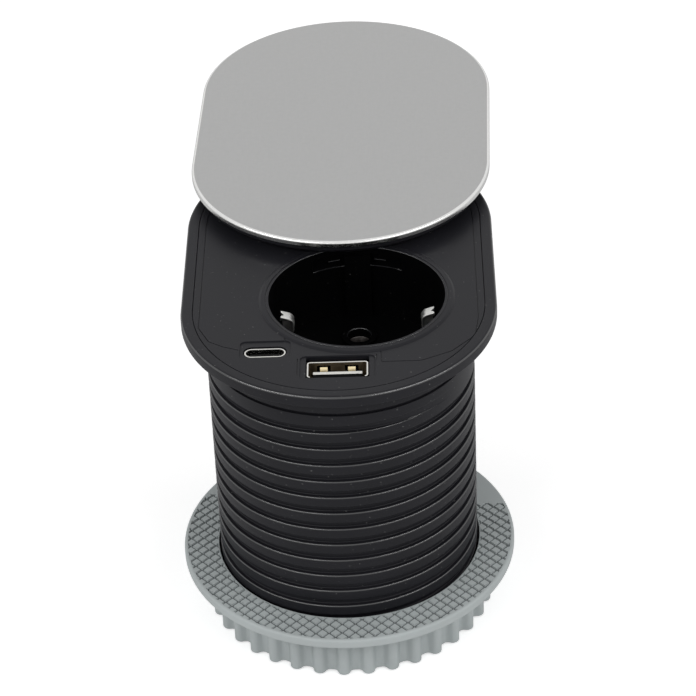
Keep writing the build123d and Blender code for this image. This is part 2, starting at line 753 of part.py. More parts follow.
# Lid: black carrier with a chamfered underside, pressed steel cap over it
with BuildPart() as lid_carrier:
    with BuildSketch(lid_plane(lid_carrier_bottom)):
        lid_shape(flange_half_width - lid_carrier_inset)
    extrude(amount=lid_carrier_thickness)
    chamfer(lid_carrier.edges().group_by(Axis.Z)[0], lid_carrier_chamfer)
    with BuildSketch(lid_plane(lid_plate_bottom)):
        lid_shape(flange_half_width - lid_plate_skin - fit_gap)
    extrude(amount=lid_pad_top - lid_plate_bottom)
    with BuildSketch(lid_plane(lid_carrier_bottom)):
        with Locations((peg_circle, 0)):
            Circle(peg_radius)
    extrude(amount=-lid_gap - plate_thickness + peg_tip_clearance)
    with BuildSketch(lid_plane(lid_carrier_bottom)):
        Circle(lid_screw_radius + screw_hole_gap)
    extrude(amount=lid_pad_top - lid_carrier_bottom, mode=Mode.SUBTRACT)
    with BuildSketch(lid_plane(lid_pad_top)):
        Circle(lid_screw_head_radius + screw_hole_gap)
    extrude(amount=-screw_head_height, mode=Mode.SUBTRACT)
save(lid_carrier, "lid_carrier")

with BuildPart() as lid_plate:
    with BuildSketch(lid_plane(lid_plate_bottom)):
        lid_shape(flange_half_width)
    extrude(amount=lid_plate_height)
    fillet(lid_plate.edges().group_by(Axis.Z)[-1], lid_edge_radius)
    with BuildSketch(lid_plane(lid_plate_bottom)):
        lid_shape(flange_half_width - lid_plate_skin)
    extrude(amount=lid_pad_top - lid_plate_bottom, mode=Mode.SUBTRACT)
save(lid_plate, "lid_plate")

# Pivot pin: wide thin head let into the flange's underside, shank up to the lid carrier
pocket_top = flange_bottom + pivot_pocket_depth
head_top = flange_bottom + pivot_head_thickness
with BuildPart() as lid_pivot:
    with BuildSketch(pivot_plane.offset(flange_bottom)):
        Circle(pivot_head_radius)
    extrude(amount=pivot_head_thickness)
    with BuildSketch(pivot_plane.offset(flange_bottom)):
        Circle(pivot_radius)
    extrude(amount=lid_carrier_bottom - flange_bottom)
    with BuildSketch(pivot_plane.offset(lid_carrier_bottom)):
        Circle(lid_screw_radius + screw_hole_gap)
    extrude(amount=flange_bottom - lid_carrier_bottom, mode=Mode.SUBTRACT)
save(lid_pivot, "lid_pivot")

with BuildPart() as spring_washer:
    with BuildSketch(pivot_plane.offset(head_top)):
        Circle(pivot_head_radius - fit_gap)
        Circle(pivot_radius + pivot_clearance, mode=Mode.SUBTRACT)
    extrude(amount=spring_washer_thickness)
save(spring_washer, "spring_washer")

with BuildPart() as pivot_bush:
    with BuildSketch(pivot_plane.offset(pocket_top)):
        Circle(bush_radius)
        Circle(pivot_radius + pivot_clearance, mode=Mode.SUBTRACT)
    extrude(amount=body_height - pocket_top)
save(pivot_bush, "pivot_bush")

with BuildPart() as thrust_washer:
    with BuildSketch(pivot_plane.offset(lid_carrier_bottom)):
        Circle(washer_radius)
        Circle(pivot_radius + pivot_clearance, mode=Mode.SUBTRACT)
    extrude(amount=-lid_gap + pivot_clearance)
save(thrust_washer, "thrust_washer")

with BuildPart() as lid_screw:
    with BuildSketch(pivot_plane.offset(lid_pad_top)):
        Circle(lid_screw_head_radius)
    extrude(amount=-screw_head_height)
    with BuildSketch(pivot_plane.offset(lid_pad_top - screw_head_height)):
        Circle(lid_screw_radius)
    extrude(amount=-lid_screw_length)
save(lid_screw, "lid_screw")

# Grip ring: bears on the underside of the desk and doesn't turn with the nut
with BuildPart() as grip_ring:
    with BuildSketch(Plane.XY.offset(ring_bottom)):
        Circle(grip_ring_radius)
        Circle(nut_bore, mode=Mode.SUBTRACT)
    extrude(amount=grip_ring_thickness)
    outer_edges = grip_ring.edges().filter_by(GeomType.CIRCLE).group_by(SortBy.RADIUS)[-1]
    fillet(outer_edges, grip_ring_edge_radius)
    with BuildSketch(Plane.XY.offset(ring_bottom)):
        Circle(spigot_radius + ring_clearance)
    extrude(amount=spigot_height + ring_clearance, mode=Mode.SUBTRACT)
save(grip_ring, "grip_ring")

# Clamping nut: lobed wall, spigot under the grip ring, one helical rib that runs in the groove
with BuildPart() as clamp_nut:
    with BuildSketch() as lobed_outline:
        Circle(lobe_crest_radius - lobe_depth)
        with PolarLocations(lobe_crest_radius - lobe_radius, lobe_count, lobe_start_angle):
            Circle(lobe_radius)
        fillet(lobed_outline.vertices(), lobe_root_radius)
    extrude(amount=ring_bottom)
    with BuildSketch(Plane.XY.offset(ring_bottom)):
        Circle(spigot_radius)
    extrude(amount=spigot_height)
    with BuildSketch():
        Circle(nut_bore)
    extrude(amount=ring_bottom + spigot_height, mode=Mode.SUBTRACT)
    rib_tip = thread_root + nut_rib_tip_clearance
    rib_base = nut_bore + nut_rib_root_sink
    with BuildLine(Plane.XY.offset(first_groove_height)) as rib_path:
        Helix(thread_pitch, nut_rib_turns * thread_pitch, rib_tip)
    with BuildSketch(Plane.XZ) as rib_profile:
        with Locations(((rib_tip + rib_base) / 2, first_groove_height)):
            Rectangle(rib_base - rib_tip, groove_width - 2 * nut_rib_side_clearance)
    sweep(path=rib_path.wires()[0], is_frenet=True)
save(clamp_nut, "clamp_nut")
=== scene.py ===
import json
from math import acos, atan2, ceil, cos, hypot, pi, radians, sin, sqrt, tau

import bmesh
import bpy
from mathutils import Euler, Matrix, Vector

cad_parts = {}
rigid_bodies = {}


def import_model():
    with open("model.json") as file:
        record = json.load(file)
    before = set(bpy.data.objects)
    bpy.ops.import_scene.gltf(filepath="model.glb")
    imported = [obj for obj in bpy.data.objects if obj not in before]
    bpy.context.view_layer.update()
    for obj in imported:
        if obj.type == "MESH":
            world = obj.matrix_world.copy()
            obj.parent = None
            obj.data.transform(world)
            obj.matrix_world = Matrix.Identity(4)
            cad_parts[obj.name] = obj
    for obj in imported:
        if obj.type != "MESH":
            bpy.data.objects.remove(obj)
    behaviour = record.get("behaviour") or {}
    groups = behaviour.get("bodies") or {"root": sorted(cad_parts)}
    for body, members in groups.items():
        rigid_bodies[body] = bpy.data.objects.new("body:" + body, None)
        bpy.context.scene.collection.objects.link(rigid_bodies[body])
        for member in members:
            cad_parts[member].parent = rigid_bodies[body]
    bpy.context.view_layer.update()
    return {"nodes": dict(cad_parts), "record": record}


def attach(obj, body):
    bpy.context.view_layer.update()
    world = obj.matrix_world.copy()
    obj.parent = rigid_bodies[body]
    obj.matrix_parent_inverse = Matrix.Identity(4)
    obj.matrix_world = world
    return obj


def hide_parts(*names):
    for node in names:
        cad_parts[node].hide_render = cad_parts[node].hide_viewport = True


for leftover in list(bpy.data.objects):  # the start-up cube, lamp and camera
    bpy.data.objects.remove(leftover)
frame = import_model()
print("frame loaded:", len(frame["nodes"]), "nodes")

near = 1e-5  # tolerance when edges are picked by their place
mergeWithin = 2e-6  # vertices closer than this become one
over = 0.001  # how far a cutter sticks out of what it cuts
creaseAngle = radians(35)


# small helpers for the modelling steps
def clearSelection():
    if bpy.context.object and bpy.context.object.mode != "OBJECT":
        bpy.ops.object.mode_set(mode="OBJECT")
    bpy.ops.object.select_all(action="DESELECT")


def activate(piece):
    clearSelection()
    piece.select_set(True)
    bpy.context.view_layer.objects.active = piece


def edit(piece):
    activate(piece)
    bpy.ops.object.mode_set(mode="EDIT")
    bpy.ops.mesh.select_mode(type="VERT")


def leaveEditing():
    bpy.ops.object.mode_set(mode="OBJECT")


def selectAll():
    bpy.ops.mesh.select_all(action="SELECT")


def pick(kind, test):  # selects what passes the test, by its place or normal
    bpy.ops.mesh.select_mode(type=kind)
    bpy.ops.mesh.select_all(action="DESELECT")
    mesh = bmesh.from_edit_mesh(bpy.context.object.data)
    for part in {"VERT": mesh.verts, "EDGE": mesh.edges, "FACE": mesh.faces}[kind]:
        if test(part):
            part.select_set(True)
    mesh.select_flush_mode()
    bmesh.update_edit_mesh(bpy.context.object.data)


def middle(edge):
    return (edge.verts[0].co + edge.verts[1].co) / 2


def above(height):  # a test for edges at a height or over it
    return lambda edge: middle(edge).z > height - near


def below(height):
    return lambda edge: middle(edge).z < height + near


def reach(point, centre=(0, 0)):  # distance from an upright axis
    return hypot(point.x - centre[0], point.y - centre[1])


def fromSpine(point, span):  # distance from the middle line of a slot shape
    return hypot(point.x, point.y - min(max(point.y, 0), span))


def extrude(offset):
    bpy.ops.mesh.extrude_region_move(TRANSFORM_OT_translate={"value": offset})


def press(rim, height, side=1):  # moves the top face within a rim, or with side -1 the bottom face
    pick("FACE", lambda face: side * face.normal.z > 0.9)
    bpy.ops.mesh.inset(thickness=rim)
    extrude((0, 0, height))


def bevel(test, width, segments=2):
    pick("EDGE", test)
    bpy.ops.mesh.bevel(offset=width, segments=segments, affect="EDGES")


def bevelled(piece, test, width, segments=2):
    edit(piece)
    bevel(test, width, segments)
    leaveEditing()
    return piece


def mergeDoubles():
    selectAll()
    bpy.ops.mesh.remove_doubles(threshold=mergeWithin)


def closeUp():  # doubles merged, every face turned outwards, then out of the mesh
    mergeDoubles()
    bpy.ops.mesh.normals_make_consistent(inside=False)
    leaveEditing()
    return bpy.context.object


def applyModifier(piece, kind, **settings):
    activate(piece)
    modifier = piece.modifiers.new(kind.title(), kind)
    for name, value in settings.items():
        setattr(modifier, name, value)
    bpy.ops.object.modifier_apply(modifier=modifier.name)
    return piece


def cutWith(piece, cutter, operation="DIFFERENCE"):
    applyModifier(piece, "BOOLEAN", operation=operation, solver="EXACT", object=cutter)
    bpy.data.objects.remove(cutter)
    return piece


def applyPlace(piece):
    activate(piece)
    bpy.ops.object.transform_apply(location=True, rotation=True, scale=True)


def joined(pieces, name):
    clearSelection()
    for piece in pieces:
        piece.select_set(True)
    bpy.context.view_layer.objects.active = pieces[0]
    bpy.ops.object.join()
    pieces[0].name = name
    return pieces[0]


def copied(piece):
    double = piece.copy()
    double.data = piece.data.copy()
    bpy.context.collection.objects.link(double)
    return double


def begun(name):  # the primitive just added gets its name, and its mesh is opened
    piece = bpy.context.object
    piece.name = name
    applyPlace(piece)
    edit(piece)
    return piece


def disc(name, radius, bottom, top, centre=(0, 0), sides=96, turn=0.0, pulls=()):
    # a closed drum between two heights; each pull moves the side of its outline that passes a test
    clearSelection()
    bpy.ops.mesh.primitive_circle_add(vertices=sides, radius=radius, fill_type="NGON",
                                      location=(*centre, bottom), rotation=(0, 0, turn))
    begun(name)
    for test, offset in pulls:
        pick("VERT", test)
        bpy.ops.transform.translate(value=offset)
    selectAll()
    extrude((0, 0, top - bottom))
    return closeUp()


def slotPlate(name, halfWidth, span, bottom, top, sides=128):  # round ended plate, front end on the axis
    return disc(name, halfWidth, bottom, top, (0, 0), sides, pi / sides,
                [(lambda vert: vert.co.y > 0, (0, span, 0))])


def pill(name, width, depth, bottom, top, centre):  # a bar with round ends along X
    sides, pull = 48, (width - depth) / 2
    return disc(name, depth / 2, bottom, top, centre, sides, pi / sides,
                [(lambda vert: vert.co.x < centre[0], (-pull, 0, 0)),
                 (lambda vert: vert.co.x > centre[0], (pull, 0, 0))])


def drill(piece, name, radius, bottom, top, centre=(0, 0), sides=160):  # a round hole right through
    return cutWith(piece, disc(name, radius, bottom - over, top + over, centre, sides))


def block(name, width, depth, bottom, top, centre, corner=0.0, flare=0.0, rounds=6):
    # a block with rounded upright edges, its top wider by the flare
    clearSelection()
    bpy.ops.mesh.primitive_cube_add(size=1, location=(*centre, (bottom + top) / 2))
    bpy.context.object.scale = (width, depth, top - bottom)
    begun(name)
    if corner:
        bevel(lambda edge: abs(edge.verts[0].co.z - edge.verts[1].co.z) > (top - bottom) / 2, corner, rounds)
    if flare:
        pick("VERT", lambda vert: vert.co.z > (bottom + top) / 2)
        bpy.ops.transform.resize(
            value=(1 + 2 * flare / width, 1 + 2 * flare / depth, 1), center_override=(*centre, top))
    return closeUp()


def drawChain(name, points):  # an edge chain drawn point by point
    clearSelection()
    bpy.ops.mesh.primitive_plane_add(size=0.001, location=points[0])
    piece = begun(name)
    selectAll()
    bpy.ops.mesh.merge(type="CENTER")
    for before, after in zip(points, points[1:]):
        bpy.ops.mesh.extrude_vertices_move(TRANSFORM_OT_translate={"value": Vector(after) - Vector(before)})
    leaveEditing()
    return piece


def drawProfile(name, points):  # the same in the XZ plane
    return drawChain(name, [(x, 0, z) for x, z in points])


def ribbon(name, points, offset, thickness):  # a chain drawn out sideways and given a thickness
    piece = drawChain(name, points)
    edit(piece)
    selectAll()
    extrude(offset)
    selectAll()
    bpy.ops.mesh.normals_make_consistent(inside=False)
    leaveEditing()
    return applyModifier(piece, "SOLIDIFY", thickness=thickness, offset=0, use_even_offset=True)


def screw(piece, steps, angle=tau, **settings):
    return applyModifier(piece, "SCREW", angle=angle, steps=steps, render_steps=steps, **settings)


def turned(name, points, centre=(0, 0), steps=128):  # a closed profile turned about an upright axis
    piece = drawProfile(name, [*points, points[0]])
    screw(piece, steps, use_merge_vertices=True, merge_threshold=mergeWithin)
    edit(piece)
    closeUp()
    piece.location = (*centre, 0)
    applyPlace(piece)
    return piece


def rounded(corner, radius, before, after, steps=4):  # points of an arc that rounds a profile's corner
    corner, before, after = Vector(corner), Vector(before), Vector(after)
    toBefore, toAfter = (before - corner).normalized(), (after - corner).normalized()
    half = toBefore.angle(toAfter) / 2
    side = radius * cos(half) / sin(half)
    start, end = corner + toBefore * side, corner + toAfter * side
    centre = corner + (toBefore + toAfter).normalized() * radius / sin(half)
    rays = [(start - centre).slerp(end - centre, step / steps) for step in range(steps + 1)]
    return [tuple(centre + ray.normalized() * radius) for ray in rays]


def softened(points, radii, steps=4):  # a closed profile with some of its corners rounded
    result = []
    for i, (point, radius) in enumerate(zip(points, radii)):
        if radius:
            result += rounded(point, radius, points[i - 1], points[(i + 1) % len(points)], steps)
        else:
            result.append(point)
    return result


def halfCircle(x, y, radius, steps=24):  # from the right over the rear to the left
    turns = [pi * step / steps for step in range(steps + 1)]
    return [(x + radius * cos(turn), y + radius * sin(turn)) for turn in turns]


def roundEdges(piece, width, angle=creaseAngle):
    return applyModifier(piece, "BEVEL", width=width, segments=2, limit_method="ANGLE",
                         angle_limit=angle, use_clamp_overlap=True, miter_outer="MITER_ARC")


# shader groups
def newGroup(name, *amounts):
    group = bpy.data.node_groups.new(name, "ShaderNodeTree")
    for way, labels in (("INPUT", amounts), ("OUTPUT", ("Height",))):
        for label in ("Colour", "Roughness", *labels):
            kind = "NodeSocketColor" if label == "Colour" else "NodeSocketFloat"
            group.interface.new_socket(label, in_out=way, socket_type=kind)
    return group, group.nodes.new("NodeGroupInput").outputs


def deliver(tree, *results):  # colour, roughness and height leave the group
    out = tree.nodes.new("NodeGroupOutput")
    for i, result in enumerate(results):
        tree.links.new(result, out.inputs[i])
    return tree


def node(tree, kind, sockets=None, **settings):
    made = tree.nodes.new("ShaderNode" + kind)
    for name, value in settings.items():
        setattr(made, name, value)
    for name, value in (sockets or {}).items():
        if isinstance(value, bpy.types.NodeSocket):
            tree.links.new(value, made.inputs[name])
        else:
            made.inputs[name].default_value = value
    return made


def maths(tree, operation, first, second, **settings):
    return node(tree, "Math", {0: first, 1: second}, operation=operation, **settings).outputs[0]


def noise(tree, place, scale, detail=3.0, roughness=0.5):
    sockets = {"Vector": place, "Scale": scale, "Detail": detail, "Roughness": roughness}
    return node(tree, "TexNoise", sockets).outputs["Fac"]


def remap(tree, value, low, high, newLow=0.0, newHigh=1.0):
    sockets = {"Value": value, "From Min": low, "From Max": high, "To Min": newLow, "To Max": newHigh}
    return node(tree, "MapRange", sockets).outputs["Result"]


def mixColour(tree, factor, first, second, blend="MIX"):
    sockets = {0: factor, 6: first, 7: second}
    return node(tree, "Mix", sockets, data_type="RGBA", blend_type=blend).outputs[2]


def uneven(tree, colour, shade, amount):  # a colour made lighter and darker by the shade
    swing = maths(tree, "MULTIPLY", shade, amount)
    return swing, mixColour(tree, 1.0, colour, maths(tree, "ADD", swing, 1.0), "MULTIPLY")


def mouldedGroup():  # moulded plastic: fine spark grain, slow unevenness, dust and faint rubs
    tree, given = newGroup("mouldedPlastic", "Grain", "Dust", "Variation")
    place = node(tree, "TexCoord").outputs["Object"]
    slow = noise(tree, place, 60.0, 4.0)
    specks = remap(tree, noise(tree, place, 1500.0, 1.0), 0.74, 0.80)
    dust = maths(tree, "MULTIPLY", specks, given["Dust"])
    toned = uneven(tree, given["Colour"], remap(tree, slow, 0.3, 0.7, -0.5, 0.5), given["Variation"])[1]
    dusty = mixColour(tree, dust, toned, (0.35, 0.35, 0.34, 1))
    rough = maths(tree, "ADD", given["Roughness"], remap(tree, slow, 0.3, 0.7, -0.04, 0.04))
    rough = maths(tree, "ADD", rough, dust, use_clamp=True)
    height = maths(tree, "MULTIPLY", noise(tree, place, 5200.0, 2.0), given["Grain"])
    return deliver(tree, dusty, rough, height)


def brushedGroup():  # long fine scratches along one direction over a slow mottle
    tree, given = newGroup("brushedMetal", "Strength")
    stretch = (1.0, 0.03, 1.0)
    place = node(tree, "TexCoord").outputs["Object"]
    along = node(tree, "VectorMath", {0: place, 1: stretch}, operation="MULTIPLY").outputs[0]
    lines = noise(tree, along, 6000.0, 3.0, 0.7)
    both = maths(tree, "ADD", lines, noise(tree, place, 900.0, 3.0))
    shade = remap(tree, both, 0.6, 1.4, -1.0, 1.0)
    swing, toned = uneven(tree, given["Colour"], shade, given["Strength"])
    rough = maths(tree, "ADD", given["Roughness"], swing, use_clamp=True)
    return deliver(tree, toned, rough, lines)


moulded = mouldedGroup()
brushed = brushedGroup()
reliefDepth = 0.00002


def material(name, group, bump, specular=0.5, **values):
    made = bpy.data.materials.new(name)
    made.use_nodes = True
    tree = made.node_tree
    shader = tree.nodes["Principled BSDF"].inputs
    effect = tree.nodes.new("ShaderNodeGroup")
    effect.node_tree = group
    for label, value in values.items():
        effect.inputs[label.title()].default_value = (*value, 1) if label == "colour" else value
    results = effect.outputs
    relief = node(tree, "Bump", {"Height": results["Height"], "Strength": bump, "Distance": reliefDepth})
    tree.links.new(results["Colour"], shader["Base Color"])
    tree.links.new(results["Roughness"], shader["Roughness"])
    tree.links.new(relief.outputs["Normal"], shader["Normal"])
    shader["Metallic"].default_value = 1.0 if group == brushed else 0.0
    shader["Specular IOR Level"].default_value = specular
    return made


finishes = {
    "black_plastic": material(
        "satinBlackPlastic", moulded, colour=(0.0125, 0.0125, 0.0155), roughness=0.4, grain=1.0, dust=0.3,
        variation=0.25, bump=0.3, specular=0.17),
    # glossy black plastic, its colour made far darker than the satin black: painted shade for the inside of
    # the well
    "black_gloss": material(
        "blackPlasticWithPaintedShade", moulded, colour=(0.0016, 0.0016, 0.0018), roughness=0.32, grain=0.3, dust=0.1,
        variation=0.1, bump=0.1, specular=0.07),
    # painted highlight: a lighter, glossier copy of the black plastic for rounded edges that face up and out
    "highlight_edge": material(
        "paintedHighlightEdge", moulded, colour=(0.016, 0.016, 0.018), roughness=0.22, grain=0.3, dust=0.1,
        variation=0.1, bump=0.1, specular=0.9),
    "brushed_lid": material(
        "brushedLid", brushed, colour=(0.41, 0.41, 0.408), roughness=0.38, strength=0.05, bump=0.12),
    "polished_edge": material(
        "polishedEdge", brushed, colour=(0.72, 0.72, 0.71), roughness=0.25, strength=0.04, bump=0.04),
    "grey_plastic": material(
        "greyNutPlastic", moulded, colour=(0.45, 0.487, 0.489), roughness=0.5, grain=1.0, dust=0.1,
        variation=0.08, bump=0.3, specular=0.35),
    # painted shade: the nut's grey plastic made darker for the floors of its pattern grooves
    "painted_groove_shade": material(
        "paintedGrooveShade", moulded, colour=(0.16, 0.175, 0.178), roughness=0.6, grain=0.6, dust=0.1,
        variation=0.1, bump=0.2, specular=0.2),
    "port_steel": material(
        "nickelShell", brushed, colour=(0.66, 0.65, 0.62), roughness=0.22, strength=0.06, bump=0.05),
    "spring_steel": material(
        "platedSpring", brushed, colour=(0.72, 0.72, 0.7), roughness=0.38, strength=0.08, bump=0.08),
    # tan tin, darkened far below the outer shell: painted shade for the inside of the type A port
    "tin_with_painted_shade": material(
        "tinWithPaintedShade", brushed, colour=(0.15, 0.12, 0.08), roughness=0.5, strength=0.2, bump=0.1),
    "dull_nickel": material(
        "dullNickel", brushed, colour=(0.115, 0.105, 0.1), roughness=0.45, strength=0.15, bump=0.1),
    "screw_steel": material(
        "zincScrew", brushed, colour=(0.5, 0.5, 0.5), roughness=0.32, strength=0.1, bump=0.1),
    "brass": material(
        "plainBrass", brushed, colour=(0.72, 0.55, 0.28), roughness=0.3, strength=0.08, bump=0.08),
    "gold_contact": material(
        "goldContact", brushed, colour=(0.85, 0.72, 0.45), roughness=0.25, strength=0.05, bump=0.05),
    "white_insulator": material(
        "whiteInsulator", moulded, colour=(0.78, 0.77, 0.73), roughness=0.45, grain=0.6, dust=0.05,
        variation=0.06, bump=0.2),
    "circuit_board": material(
        "greenBoard", moulded, colour=(0.02, 0.13, 0.05), roughness=0.35, grain=0.5, dust=0.1,
        variation=0.2, bump=0.2),
    "ferrite": material(
        "darkFerrite", moulded, colour=(0.05, 0.05, 0.055), roughness=0.7, grain=1.0, dust=0.2,
        variation=0.2, bump=0.4),
    "capacitor_sleeve": material(
        "capacitorSleeve", moulded, colour=(0.02, 0.025, 0.06), roughness=0.3, grain=0.3, dust=0.1,
        variation=0.1, bump=0.1),
}
for row in frame["record"]["subparts"]:  # nodes that stay as they are take their slot's finish
    mesh = frame["nodes"][row["node"]].data
    mesh.materials.clear()
    mesh.materials.append(finishes[row["material_slot"]])
print("finishes made:", len(finishes))


def finishPiece(piece, body, slot, nodes, finish=None):
    applyPlace(piece)
    bpy.ops.object.shade_smooth_by_angle(angle=creaseAngle)
    applyModifier(piece, "WEIGHTED_NORMAL", keep_sharp=True, weight=50)
    piece.data.materials.clear()
    piece.data.materials.append(finishes[finish or slot])
    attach(piece, body)
    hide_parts(*nodes)
    print("made", piece.name, len(piece.data.polygons), "faces")
    return piece


def secondFinish(piece, finish, test):  # for the faces that pass the test
    piece.data.materials.append(finishes[finish])
    for face in piece.data.polygons:
        if test(face):
            face.material_index = len(piece.data.materials) - 1


def slopes(face, s):  # whether a face lies on a rounded edge that gets the painted highlight
    return s["highlightSlope"][0] < face.normal.z < s["highlightSlope"][1]


# threaded sleeve
sleeve = {
    "radius": 0.0297, "bore": 0.0275, "pitch": 0.00435, "depth": 0.001, "groove": 0.0017,
    "firstGroove": -0.00236, "lastGroove": 0.066805, "fadeTurn": 0.16, "crestRound": 0.0003,
    "rootRound": 0.00025, "neckLine": 0.0705, "lineWidth": 0.0007, "lineDepth": 0.0006, "lineRound": 0.00018,
    "stepsPerTurn": 96, "highlightSlope": (0.25, 0.8),
}


def setRadius(vert, radius):  # moves a vertex towards the axis or away from it
    growth = radius / reach(vert.co)
    vert.co.x *= growth
    vert.co.y *= growth


def threadedSleeve(s):
    pitch, first, neckLine = s["pitch"], s["firstGroove"], s["neckLine"]
    outer, root = s["radius"], s["radius"] - s["depth"]
    low = first - pitch / 2  # one pitch of the wall, from mid land to mid land
    wallFoot = low + (pitch - s["groove"]) / 2
    wallTop = wallFoot + s["groove"]
    corners = [(outer, low), (outer, wallFoot), (root, wallFoot), (root, wallTop), (outer, wallTop),
               (outer, low + pitch)]
    profile = [corners[0]]
    for i, radius in ((1, s["crestRound"]), (2, s["rootRound"]), (3, s["rootRound"]), (4, s["crestRound"])):
        profile += rounded(corners[i], radius, corners[i - 1], corners[i + 1], 3)
    profile.append(corners[5])
    turns = ceil((neckLine - low) / pitch) + 1
    wall = drawProfile("threadedSleeve", profile)
    screw(wall, s["stepsPerTurn"], screw_offset=pitch, iterations=turns)
    edit(wall)
    mergeDoubles()
    endTurn = (s["lastGroove"] - first) / pitch  # the groove runs out before the neck
    mesh = bmesh.from_edit_mesh(wall.data)
    for vert in mesh.verts:
        turn = (atan2(vert.co.y, vert.co.x) / tau) % 1
        whole = round((vert.co.z - first) / pitch - turn)
        share = min(max((endTurn - (whole + turn)) / s["fadeTurn"], 0), 1)
        share = share * share * (3 - 2 * share)
        setRadius(vert, outer - (outer - reach(vert.co)) * share)
    bmesh.update_edit_mesh(wall.data)
    lineBottom = neckLine - s["lineWidth"]
    for height, upper in ((0, False), (lineBottom, True)):
        selectAll()
        bpy.ops.mesh.bisect(plane_co=(0, 0, height), plane_no=(0, 0, 1), threshold=mergeWithin,
                            clear_inner=not upper, clear_outer=upper)
    # shoulder and spigot at the top, then over the spigot into the bore
    ringRadius, half = outer - s["lineDepth"], neckLine / 2
    steps = [*rounded((outer, lineBottom), s["lineRound"], (outer, 0), (ringRadius, lineBottom), 3)[1:],
             (ringRadius, lineBottom), (ringRadius, neckLine), (s["bore"], neckLine)]
    pick("EDGE", lambda edge: edge.is_boundary and middle(edge).z > half)
    current = (outer, lineBottom)
    for radius, height in steps:
        growth = radius / current[0]
        extrude((0, 0, height - current[1]))
        bpy.ops.transform.resize(value=(growth, growth, 1), center_override=(0, 0, height))
        current = (radius, height)
    # foot: the lower rim is drawn in to the bore, then the two rims are bridged
    pick("EDGE", lambda edge: edge.is_boundary and middle(edge).z < half)
    extrude((0, 0, 0))
    mesh = bmesh.from_edit_mesh(wall.data)
    for vert in mesh.verts:
        if vert.select:
            setRadius(vert, s["bore"])
    bmesh.update_edit_mesh(wall.data)
    pick("EDGE", lambda edge: edge.is_boundary)
    bpy.ops.mesh.bridge_edge_loops()
    return closeUp()


piece = finishPiece(threadedSleeve(sleeve), "housing", "black_plastic", ["threaded_sleeve"])
# painted highlight on the crests' upper rounded edges
secondFinish(piece, "highlight_edge", lambda face: slopes(face, sleeve)
             and reach(face.center) > sleeve["radius"] - sleeve["crestRound"])

# flange
flange = {
    "halfWidth": 0.0348, "span": 0.0337, "bottom": 0.0757, "top": 0.0785, "edgeRound": 0.0007,
    "lowerRound": 0.00025, "rim": 0.0026, "recess": 0.0012, "bore": 0.0275, "rimRound": 0.00012,
    "nearRim": 0.0002, "neck": 0.0297, "neckBottom": 0.0705, "neckRound": 0.00018, "neckOverlap": 0.0005,
    "pivotPocket": 0.0071, "pocketDepth": 0.0009, "bushHole": 0.00465, "pivotPlace": (0, 0.0433),
    "highlightSlope": (0.35, 0.8),
}


def flangePlate(s):
    piece = slotPlate("flangeRim", s["halfWidth"], s["span"], s["bottom"], s["top"])
    outer, inner = s["halfWidth"] - s["nearRim"], s["halfWidth"] - s["rim"] + s["nearRim"]
    onTop = above(s["top"])
    edit(piece)
    press(s["rim"], -s["recess"])
    bevel(lambda edge: onTop(edge) and fromSpine(middle(edge), s["span"]) > outer, s["edgeRound"], 5)
    bevel(lambda edge: onTop(edge) and fromSpine(middle(edge), s["span"]) < inner, s["rimRound"])
    bevel(below(s["bottom"]), s["lowerRound"], 3)
    closeUp()
    inside, neckTop = s["bore"] - over, s["bottom"] + s["neckOverlap"]
    low, neck = s["neckBottom"], s["neck"]
    points = [(inside, low), (neck, low), (neck, neckTop), (inside, neckTop)]
    cutWith(piece, turned("neck", softened(points, [0, s["neckRound"], 0, 0]), steps=192), "UNION")
    cutWith(piece, disc("pivotPocket", s["pivotPocket"], s["bottom"] - over, s["bottom"] + s["pocketDepth"],
                        s["pivotPlace"]))
    cutWith(piece, disc("bushHole", s["bushHole"], s["bottom"], s["top"] + over, s["pivotPlace"]))
    return drill(piece, "bore", s["bore"], low, s["top"])


piece = finishPiece(flangePlate(flange), "housing", "black_plastic", ["flange"])
# painted highlight along the flange's rounded top edge
secondFinish(piece, "highlight_edge", lambda face: slopes(face, flange)
             and face.center.z > flange["top"] - flange["edgeRound"]
             and fromSpine(face.center, flange["span"]) > flange["halfWidth"] - flange["edgeRound"])

# face plate
plate = {
    "halfWidth": 0.03208, "bottom": 0.0773, "edgeRound": 0.0001, "wellRadius": 0.0211,
    "wellCentre": (0.004, 0.0029), "grooveWidth": 0.00017, "grooveDepth": 0.0002, "grooveRadius": 0.0305,
    "leftGroove": [(-0.0305, -0.0075), (-0.0281, -0.0128), (-0.0249, -0.0149), (-0.0215, -0.0163)],
    "rightGroove": [(0.0305, -0.0065), (0.0296, -0.0132), (0.0244, -0.0189), (0.0184, -0.0218),
                    (0.0175, -0.0221), (0.00935, -0.0221), (0.0092, -0.0180)],
    "shortGrooves": [[(-0.01155, -0.0135), (-0.01155, -0.0113)], [(-0.0087, -0.0202), (-0.0087, -0.0262)],
                     [(0.0083, -0.0192), (0.0083, -0.0214)]],
    "postRadius": 0.0015, "postPlaces": [(-0.009, -0.0225), (-0.0225, -0.009)], "postBottom": 0.0662,
    "postHole": 0.0006, "postOverlap": 0.0002, "slotCircle": 0.0095, "slotHalfWidth": 0.0011,
}
